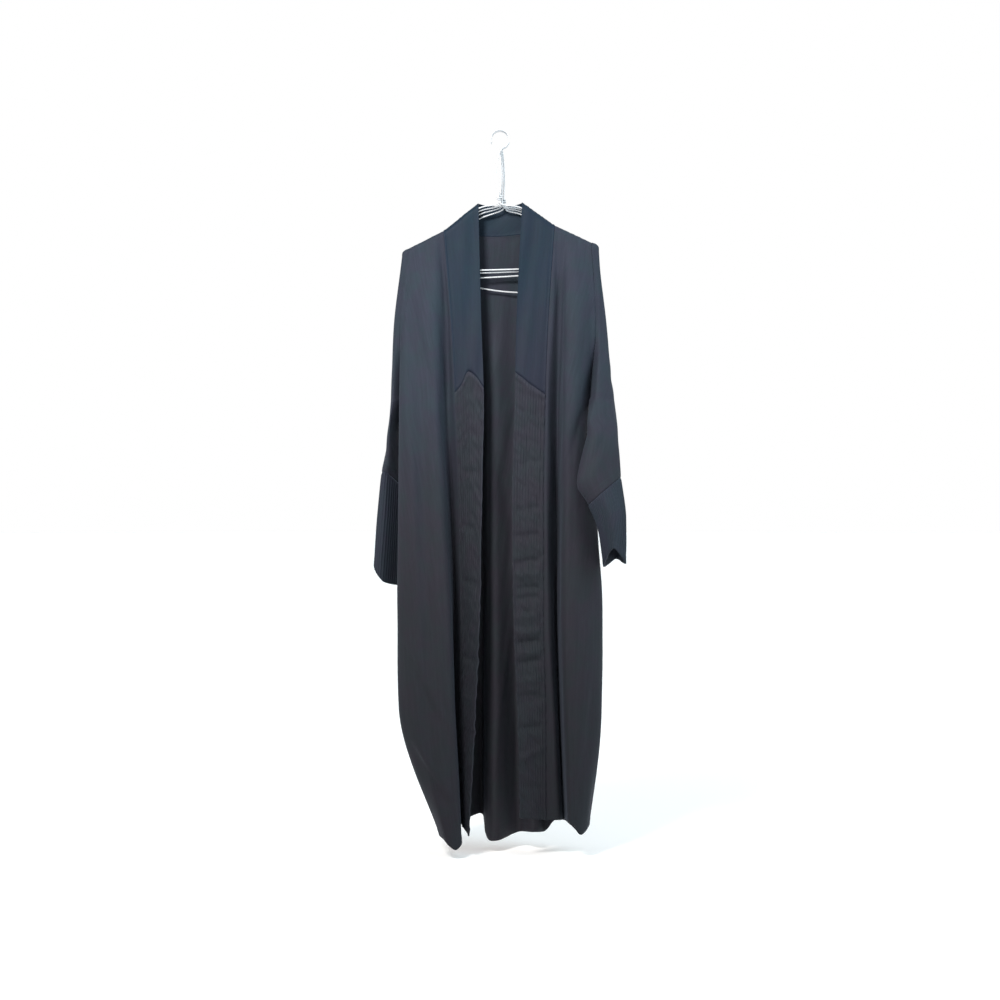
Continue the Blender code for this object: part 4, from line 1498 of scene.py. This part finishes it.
# ---------------------------------------------------------------- hangers
@dataclass
class Hanger:
    """One coated wire hanger: its hook, neck, arms, bar and the wire end wrapped round its neck."""

    wire: Wire
    index: int
    radius: float = 1.6 * MM
    pitch: float = 7.2 * MM      # front to back spacing of the hangers
    neck_drop: float = 1.0 * MM
    hook: float = 20 * MM        # centre line of the hook
    hook_angles: tuple[int, ...] = tuple(range(200, -81, -14))
    neck_top: float = -52 * MM
    bow_z: float = -100 * MM
    hook_lean: Spot = (0.6, 0.2)     # shares of the neck's and the bow's X at the hook's foot
    straight: float = 30 * MM    # straight length of the neck
    foot_rise: float = 6 * MM    # height over the apex at which the neck turns into the arm
    foot_out: float = 3 * MM
    wrap_steps: int = 28
    wrap_turn: int = 16          # steps to one turn round the neck
    wrap_clear: float = 0.4 * MM
    wrap_rise: float = 9 * MM
    wrap_pitch: float = 2.3      # wire radii that the wrap climbs in one turn
    wrap_lead: Spot = (5 * MM, 2 * MM)   # how far out and how far down the wrap starts
    bar_shares: Spot = (0.25, 0.75)
    bar_points: int = 9
    sag_reach: float = 1.1       # half width of the bar's sag, as a share of the reach
    tip_width: float = 0.8
    tip_angles: tuple[int, ...] = (75, 55, 35, 12, -10, -30, -50, -68, -85)
    bends: tuple[float, ...] = (12 * MM, 5 * MM, 2 * MM)     # lengths that are cut from the corners, in turn
    corner_share: float = 0.25   # the most of a stretch that a cut takes at each end
    cap_angles: tuple[int, ...] = (30, 60, 85)
    sides: int = 14

    def bent_tip(self, side: Side, reach: float, tip_z: float, drop: float) -> list[Spot]:
        """Rounded end from the arm to the bar.

        Args:
            side: which end.
            reach: its distance from the middle.
            tip_z: height of the arm's end.
            drop: how far the bar lies below it.

        Returns:
            Places as (x, z).
        """
        half = drop / 2
        places = []
        for angle in np.radians(self.tip_angles):
            across = reach - self.tip_width * half * (1 - math.cos(angle))
            places.append((side.value * across, tip_z - half + half * math.sin(angle)))
        return places

    def route(self) -> np.ndarray:
        """The wire's centre line, from the hook's open end to the wrapped end.

        Returns:
            Its points in metres.
        """
        row = self.wire
        depth = (self.index - (len(HANGERS) - 1) / 2) * self.pitch
        neck, bow, reach, drop = row.neck_x * MM, row.bow * MM, row.reach * MM, row.bar_drop * MM
        apex = row.apex * MM
        centre = self.radius - self.hook
        flat = [(self.hook * math.cos(turn), centre + self.hook * math.sin(turn))
                for turn in np.radians(self.hook_angles)]
        flat += [(neck * self.hook_lean[0] + bow * self.hook_lean[1], self.neck_top), (bow, self.bow_z),
                 (neck, apex + self.straight), (neck, apex + self.foot_rise),
                 (neck - self.foot_out, apex - self.neck_drop)]
        left_tip, right_tip = row.left[-1] * MM, row.right[-1] * MM
        flat += [(-place * MM, height * MM) for place, height in zip(ARM_PLACES, row.left)]
        flat += self.bent_tip(Side.LEFT, reach, left_tip, drop)
        for share in np.linspace(*self.bar_shares, self.bar_points):
            x = -reach + 2 * reach * share
            level = left_tip + (right_tip - left_tip) * share - drop
            spread = 1 - min(1.0, abs(x - row.sag_x * MM) / (reach * self.sag_reach)) ** 2
            flat.append((x, level - row.sag * MM * spread))
        flat += self.bent_tip(Side.RIGHT, reach, right_tip, drop)[::-1]
        flat += [(place * MM, height * MM) for place, height in zip(ARM_PLACES, row.right)][::-1]
        places = [(x, depth, z) for x, z in flat]
        beside = neck + 2 * self.radius + self.wrap_clear
        base = apex + self.wrap_rise + row.wrap_lift * MM
        out, down = self.wrap_lead
        places += [(beside + out, depth, apex - down), (beside, depth, apex + down)]
        for turn in np.arange(self.wrap_steps + 1) / self.wrap_turn:
            angle = 2 * math.pi * turn
            places.append((neck + (beside - neck) * math.cos(angle),
                           depth - (beside - neck) * math.sin(angle),
                           base + self.wrap_pitch * self.radius * turn))
        return np.array(places)

    def bent(self, line: np.ndarray, cut: float) -> np.ndarray:
        """Cut each corner of a line, so that the wire bends softly.

        Args:
            line: the line's points.
            cut: the length to take from each stretch, in metres.

        Returns:
            The new line's points.
        """
        run = np.diff(line, axis=0)
        length = np.linalg.norm(run, axis=1, keepdims=True)
        trim = run / length * np.minimum(self.corner_share * length, cut)
        pairs = np.stack([line[:-1] + trim, line[1:] - trim], axis=1).reshape(-1, 3)
        return np.vstack([line[:1], pairs[1:-1], line[-1:]])

    def build(self, finish: bpy.types.Material) -> bpy.types.Object:
        """Sweep a round wire along the route, with rounded ends.

        Args:
            finish: its material.

        Returns:
            The new object.
        """
        line = self.route()
        for cut in self.bends:
            line = self.bent(line, cut)
        run = unit(np.gradient(line, axis=0))
        normal = unit(np.cross(run[0], (0.0, 1.0, 0.0)))
        angles = np.linspace(0, 2 * np.pi, self.sides, endpoint=False)
        rings = []
        for place, ahead in zip(line, run):
            normal = unit(normal - ahead * (normal @ ahead))
            beside = np.cross(ahead, normal)
            rings.append(place + self.radius * (np.cos(angles)[:, None] * normal
                                                + np.sin(angles)[:, None] * beside))
        for end, ahead, ring in ((line[0], -run[0], rings[0]), (line[-1], run[-1], rings[-1])):
            caps = [end + (ring - end) * math.cos(turn) + ahead * self.radius * math.sin(turn)
                    for turn in np.radians(self.cap_angles)]
            rings = caps[::-1] + rings if ring is rings[0] else rings + caps
        count = len(rings)
        ring, row = np.meshgrid(np.arange(self.sides), np.arange(count - 1), indexing="ij")
        after = (ring + 1) % self.sides
        quads = np.stack([row * self.sides + ring, row * self.sides + after,
                          (row + 1) * self.sides + after, (row + 1) * self.sides + ring], -1).reshape(-1, 4)
        faces = quads.tolist() + [list(range(self.sides))[::-1],
                                  list(range((count - 1) * self.sides, count * self.sides))]
        mesh = bpy.data.meshes.new(f"wire_{self.wire.name}")
        mesh.from_pydata(np.concatenate(rings).tolist(), [], faces)
        mesh.shade_smooth()
        mesh.materials.append(finish)
        piece = add_object(mesh.name, mesh)
        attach(piece, BODY)
        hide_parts(self.wire.name)
        LOG.info("%s: %d points", piece.name, len(mesh.vertices))
        return piece


# ---------------------------------------------------------------- floor, lights and camera
def hang_light(data: bpy.types.Light, place: Place, target: Place) -> None:
    """Put a light at a place, aimed at its target.

    Args:
        data: the light.
        place: where it is.
        target: what it shines at.
    """
    light = add_object(data.name, data)
    light.location = place
    light.rotation_mode = "QUATERNION"
    light.rotation_quaternion = (Vector(target) - Vector(place)).to_track_quat("-Z", "Y")


@dataclass(frozen=True)
class SoftBox:
    """A square soft light near the cloak, strongest at the height that it aims at."""

    name: str
    place: Place
    target: Place
    size: float
    spread: float                # degrees that its beam opens to
    power: float
    colour: Place = (1.0, 1.0, 1.0)

    def hang(self) -> None:
        """Add it to the scene."""
        data = bpy.data.lights.new(self.name, "AREA")
        data.size, data.spread = self.size, math.radians(self.spread)
        data.energy, data.color = self.power, self.colour
        hang_light(data, self.place, self.target)


@dataclass(frozen=True)
class FarLight:
    """A wide, even light from far away."""

    name: str
    comes_from: Place
    strength: float
    spread: float                # degrees that it covers, wider for softer shadows
    colour: Place = (1.0, 1.0, 1.0)

    def hang(self) -> None:
        """Add it to the scene."""
        data = bpy.data.lights.new(self.name, "SUN")
        data.energy, data.color, data.angle = self.strength, self.colour, math.radians(self.spread)
        hang_light(data, self.comes_from, (0.0, 0.0, 0.0))


@dataclass(frozen=True)
class FloorPaint:
    """Plain pale paint of the floor, with painted light: a glow that keeps it pale away from the lamps."""

    colour: Colour = (0.815, 0.80, 0.79, 1)
    shade: Colour = (0.795, 0.78, 0.77, 1)
    glow_near: Colour = (0.82, 0.79, 0.78, 1)    # the glow beside the cloak, white farther off
    glow: float = 0.34
    lit_pool: Spot = (0.8, 2.2)  # distances from the cloak between which the glow sets in
    drift: Noise = Noise(0.8, 2.0)
    roughness: Spot = (0.85, 0.1)    # the least, and what the drift adds

    def make(self) -> bpy.types.Material:
        """Make the material and its nodes.

        Returns:
            The material.
        """
        graph, shader = new_finish("pale_floor")
        where = graph.where()
        drift = graph.noise(where, self.drift)
        x, y, _ = graph.parts(where)
        away = graph.node("ShaderNodeVectorMath", {"operation": "LENGTH"}, {0: graph.point(x, y)})
        far = Value(graph, away.outputs["Value"]).step(*self.lit_pool)
        graph.feed(shader, {
            "Base Color": graph.blend(drift, self.colour, self.shade),
            "Roughness": self.roughness[0] + drift * self.roughness[1],
            "Emission Color": graph.blend(far, self.glow_near, WHITE),
            "Specular IOR Level": 0.1,
            "Emission Strength": self.glow,
        })
        return graph.owner


@dataclass(frozen=True)
class Studio:
    """Plain floor, soft light, pale surroundings and the camera."""

    floor_z: float = -1.572
    floor_radius: float = 50.0
    floor_sides: int = 96
    camera_place: Place = (0.0, -5.0, -0.8023)
    lens: float = 82.76          # millimetres, as the film's width is
    film: float = 36.0
    camera_sees: Spot = (0.1, 120.0)     # nearest and farthest distance
    overhead: float = 0.12       # strength of the surroundings overhead; at eye level it is 1
    overhead_from: Spot = (0.22, 0.32)   # how steeply a view rises where that sets in
    lights: tuple[Union[SoftBox, FarLight], ...] = (
        SoftBox("key", (-1.0, -2.55, 1.15), (0.0, 0.0, -0.40), 0.7, 80, 31, (1.0, 0.985, 0.96)),
        FarLight("cool_top", (0.1, -0.3, 1.0), 0.6, 30, (0.80, 0.90, 1.0)),
        FarLight("right_side", (1.0, -0.35, 0.75), 2.2, 50, (0.66, 0.90, 1.0)),
        FarLight("left_side", (-1.0, -0.1, 0.3), 0.4, 40, (1.0, 0.98, 0.96)),
        FarLight("back_fill", (0.15, 1.0, 0.5), 1.4, 60, (1.0, 0.99, 0.97)),
    )

    def floor(self) -> None:
        """A round flat floor."""
        turns = np.linspace(0, 2 * np.pi, self.floor_sides, endpoint=False)
        rim = [(self.floor_radius * math.cos(turn), self.floor_radius * math.sin(turn), self.floor_z)
               for turn in turns]
        mesh = bpy.data.meshes.new("floor")
        mesh.from_pydata(rim, [], [list(range(len(rim)))])
        mesh.materials.append(FloorPaint().make())
        ground = add_object("floor", mesh)

    def camera(self) -> None:
        """The camera, level and square to the cloak."""
        data = bpy.data.cameras.new("camera")
        data.lens, data.sensor_width = self.lens, self.film
        data.clip_start, data.clip_end = self.camera_sees
        camera = add_object("camera", data)
        camera.location = self.camera_place
        camera.rotation_euler = (math.pi / 2, 0, 0)
        bpy.context.scene.camera = camera

    def build(self) -> None:
        """Set up the floor, the lights, the pale surroundings and the camera."""
        scene = bpy.context.scene
        scene.view_settings.view_transform = "Standard"
        scene.world = bpy.data.worlds.new("pale_room")
        scene.world.use_nodes = True
        graph = Graph(scene.world)
        background = scene.world.node_tree.nodes["Background"]
        _, _, rise = graph.parts(graph.node("ShaderNodeTexCoord").outputs["Generated"])
        dim = rise.step(*self.overhead_from) * (1 - self.overhead)
        graph.feed(background, {"Color": WHITE, "Strength": 1 - dim})
        self.floor()
        for light in self.lights:
            light.hang()
        self.camera()


# ---------------------------------------------------------------- finishes and creases
CREPE = Fabric("blue_black_crepe", (0.0203, 0.0260, 0.0362, 1), (0.0178, 0.0184, 0.0236, 1),
               stitch_hem=(18 * MM,))
# The back's crepe with painted light: paler lower down for light that reaches the opening, and a deeper
# painted shade at the hem.
BACK_CREPE_PAINTED_LIGHT = Fabric("back_crepe", (0.019, 0.023, 0.031, 1), (0.047, 0.048, 0.058, 1),
                    painted_hem_shade=0.34, stitch_hem=(18 * MM,))
TWILL = Fabric("smooth_twill", (0.0068, 0.0150, 0.0255, 1), (0.0108, 0.0145, 0.0240, 1),
               thread=0.5 * MM, twill=0.6, crinkle=0.35, sheen=0.04, roughness=0.62,
               lower_z=-0.60, upper_z=-0.30,
               stitch_first=(4.6 * MM,), light_first=1.6 * MM)
# The tucked band's pale top, 16 mm wide, is a painted highlight just below the join.
TUCKED = Fabric("pin_tucked_crepe", (0.0162, 0.0182, 0.0245, 1), (0.0165, 0.0175, 0.0224, 1),
                crinkle=0.9, roughness=0.72, stitch_first=(4.6 * MM,), light_first=1.8 * MM,
                stitch_top=(3.0 * MM,), light_top=16 * MM, top_gain=0.25, stitch_hem=(18 * MM,))
# The left band's copy, with a painted highlight along its free inner edge.
LEFT_TUCKED_HIGHLIT = replace(TUCKED, name="pin_tucked_crepe_left", light_last=2.4 * MM)
CUFF_TUCKED = Fabric("pin_tucked_cuff", (0.0165, 0.022, 0.032, 1), (0.0165, 0.0205, 0.029, 1),
                     crinkle=0.7, roughness=0.72, stitch_top=(3.0 * MM,), light_top=1.4 * MM,
                     stitch_hem=(14 * MM,))

LEFT_FRONT_CREASES = (
    Crease(((-200, -334), (-178, -440), (-153, -544), (-129, -660)), -4.0, 9, 14),
    Crease(((-211, -351), (-207, -480), (-206, -609), (-189, -749), (-185, -910), (-181, -1028)),
           3.0, 10, 14),
    Crease(((-202, -1097), (-181, -1140), (-144, -1228), (-97, -1316)), 2.5, 8, 8),
    Crease(((-204, -1112), (-182, -1156), (-146, -1242), (-100, -1330)), -3.0, 8, 12),
    Crease(((-196, -1301), (-150, -1374), (-103, -1447)), 2.5, 10, 8),
    Crease(((-190, -1330), (-146, -1398), (-104, -1466)), -5.0, 8, 25),
    Crease(((-122, -225), (-117, -340), (-115, -450), (-112, -600)), -6.0, 8, 11),
)
RIGHT_FRONT_CREASES = (
    Crease(((120, -215), (126, -330), (128, -420), (124, -660)), -5.0, 9, 9),
    Crease(((190, -280), (170, -430), (158, -600)), 2.0, 14, 14),
    Crease(((200, -380), (199, -450), (196, -520)), -2.5, 8, 8),
    Crease(((196, -590), (170, -640), (150, -720)), -2.5, 7, 8),
    Crease(((205, -1180), (190, -1300), (172, -1420)), -2.5, 9, 9),
    Crease(((150, -900), (160, -1100), (156, -1300)), 2.0, 10, 10),
)
# Ripples across a band: the Z of each, how far it tilts and how far it stands out
RIGHT_BAND_CREASES = tuple(
    Crease(((28, z - tilt), (62, z), (100, z + tilt)), 1.5 * height, 7, 10)
    for z, tilt, height in ((-877, 3, -3.0), (-933, 4, -3.6), (-961, 3, 3.0), (-991, 2, -4.0),
                            (-1011, 5, -3.4), (-1052, 4, 2.4), (-1086, 3, 3.2), (-1107, 4, -4.0),
                            (-1131, 2, 2.8), (-1150, 5, -3.6), (-1190, 3, 2.2), (-1223, 3, -3.2),
                            (-1236, 6, -2.4), (-1292, 4, -3.4), (-1350, 16, 3.0), (-820, 5, -2.0),
                            (-720, 3, -1.6), (-1420, -6, -2.0)))
LEFT_BAND_CREASES = tuple(
    Crease(((-92, z - tilt), (-68, z), (-40, z + tilt)), 1.2 * height, 7, 10)
    for z, tilt, height in ((-978, -6, -3.2), (-1144, -8, -3.4), (-1020, -4, 2.4), (-1300, -6, -2.6),
                            (-860, -5, -2.2), (-740, -4, -1.8), (-1230, -8, 2.2)))
RIGHT_SLEEVE_CREASES = (
    Crease(((170, -756), (205, -700), (235, -640)), -3.0, 8, 12),
    Crease(((185, -690), (215, -640), (228, -560)), 2.0, 10, 10),
    Crease(((214, -360), (222, -460), (230, -560)), -2.0, 7, 9),
)
LEFT_SLEEVE_CREASES = (
    Crease(((-243, -700), (-236, -600), (-226, -480)), -2.0, 6, 6),
)
BACK_CREASES = (
    Crease(((-190, -300), (-150, -400), (-120, -480), (-60, -560)), 3.0, 12, 16, Face.BACK),
    Crease(((-186, -330), (-150, -430), (-118, -520), (-70, -620)), -3.0, 12, 18, Face.BACK),
    Crease(((176, -290), (140, -370), (96, -480), (52, -520)), 2.6, 12, 14, Face.BACK),
    Crease(((170, -320), (130, -410), (90, -520), (66, -640)), -3.0, 12, 18, Face.BACK),
    Crease(((-176, -980), (-130, -1080), (-70, -1150), (-20, -1180)), -3.0, 12, 20, Face.BACK),
    Crease(((180, -1050), (130, -1130), (90, -1260), (60, -1400)), 3.0, 14, 16, Face.BACK),
    Crease(((-150, -1290), (-120, -1370), (-80, -1430)), 2.6, 10, 14, Face.BACK),
    Crease(((-20, -700), (20, -820), (30, -960)), 2.4, 12, 14, Face.BACK),
    Crease(((100, -760), (140, -880), (150, -990)), -2.6, 12, 14, Face.BACK),
)


def main() -> None:
    """Build the cloak, its hangers and the studio."""
    Studio().build()
    crepe, back_crepe, twill = CREPE.make(), BACK_CREPE_PAINTED_LIGHT.make(), TWILL.make()
    left_tucked_highlit, tucked = LEFT_TUCKED_HIGHLIT.make(), TUCKED.make()
    cuff_tucked, coating = CUFF_TUCKED.make(), Coating().make()
    for index, wire in enumerate(HANGERS):
        Hanger(wire, index).build(coating)
    hung = tuple(f"wire_{wire.name}" for wire in HANGERS)
    body_seams = Sewn(first=True, last=True, top=True)
    upper_seams, lower_seams = Sewn(first=True, top=True, bottom=True), Sewn(first=True, top=True)
    pieces = (
        (FrontPanel("front_left", Slot.CLOTH, (0.33, 1.33), 0.33, 11, body_seams, LEFT_FRONT_CREASES,
                    hung, hem_fold=HEM, side=Side.LEFT), crepe),
        (FrontPanel("front_right", Slot.CLOTH, (0.33, 1.32), 0.32, 12, body_seams, RIGHT_FRONT_CREASES,
                    hung, hem_fold=HEM, side=Side.RIGHT), crepe),
        (BackPanel("back", Slot.CLOTH, (0.81, 1.36), 0.83, 13, body_seams, BACK_CREASES,
                   hung, hem_fold=HEM), back_crepe),
        (BandPiece("band_left_upper", Slot.SMOOTH, (0.12, 0.43), 0.032, 14, upper_seams, (),
                   hung, side=Side.LEFT), twill),
        (BandPiece("band_right_upper", Slot.SMOOTH, (0.10, 0.40), 0.032, 15, upper_seams, (),
                   hung, side=Side.RIGHT), twill),
        (BandPiece("band_left_lower", Slot.TUCKED, (0.14, 1.03), 0.082, 16, lower_seams, LEFT_BAND_CREASES,
                   hung, hem_fold=HEM, side=Side.LEFT, tucked=True), left_tucked_highlit),
        (BandPiece("band_right_lower", Slot.TUCKED, (0.12, 0.99), 0.080, 17, lower_seams, RIGHT_BAND_CREASES,
                   hung, hem_fold=HEM, side=Side.RIGHT, tucked=True), tucked),
        (NeckBand("back_neck_band", Slot.SMOOTH, (0.28, 0.11), 0.016, 18, Sewn(True, True, True),
                  (), hung), twill),
        (SleevePiece("sleeve_left", Slot.CLOTH, (0.31, 0.58), 0.062, 19, Sewn(bottom=True),
                     LEFT_SLEEVE_CREASES, hung, side=Side.LEFT), crepe),
        (SleevePiece("sleeve_right", Slot.CLOTH, (0.29, 0.64), 0.088, 20, Sewn(bottom=True),
                     RIGHT_SLEEVE_CREASES, hung, side=Side.RIGHT), crepe),
        (CuffPiece("cuff_left", Slot.TUCKED, (0.40, 0.26), 0.074, 21, Sewn(top=True), (),
                   ("cloth_sleeve_left",), hem_fold=CUFF_HEM, side=Side.LEFT), cuff_tucked),
        (CuffPiece("cuff_right", Slot.TUCKED, (0.38, 0.21), 0.052, 22, Sewn(top=True), (),
                   ("cloth_sleeve_right",), hem_fold=CUFF_HEM, side=Side.RIGHT), cuff_tucked),
    )
    for piece, finish in pieces:
        piece.build(finish)


if __name__ == "__main__":
    logging.basicConfig(level=logging.INFO, format="%(name)s %(message)s")
    main()
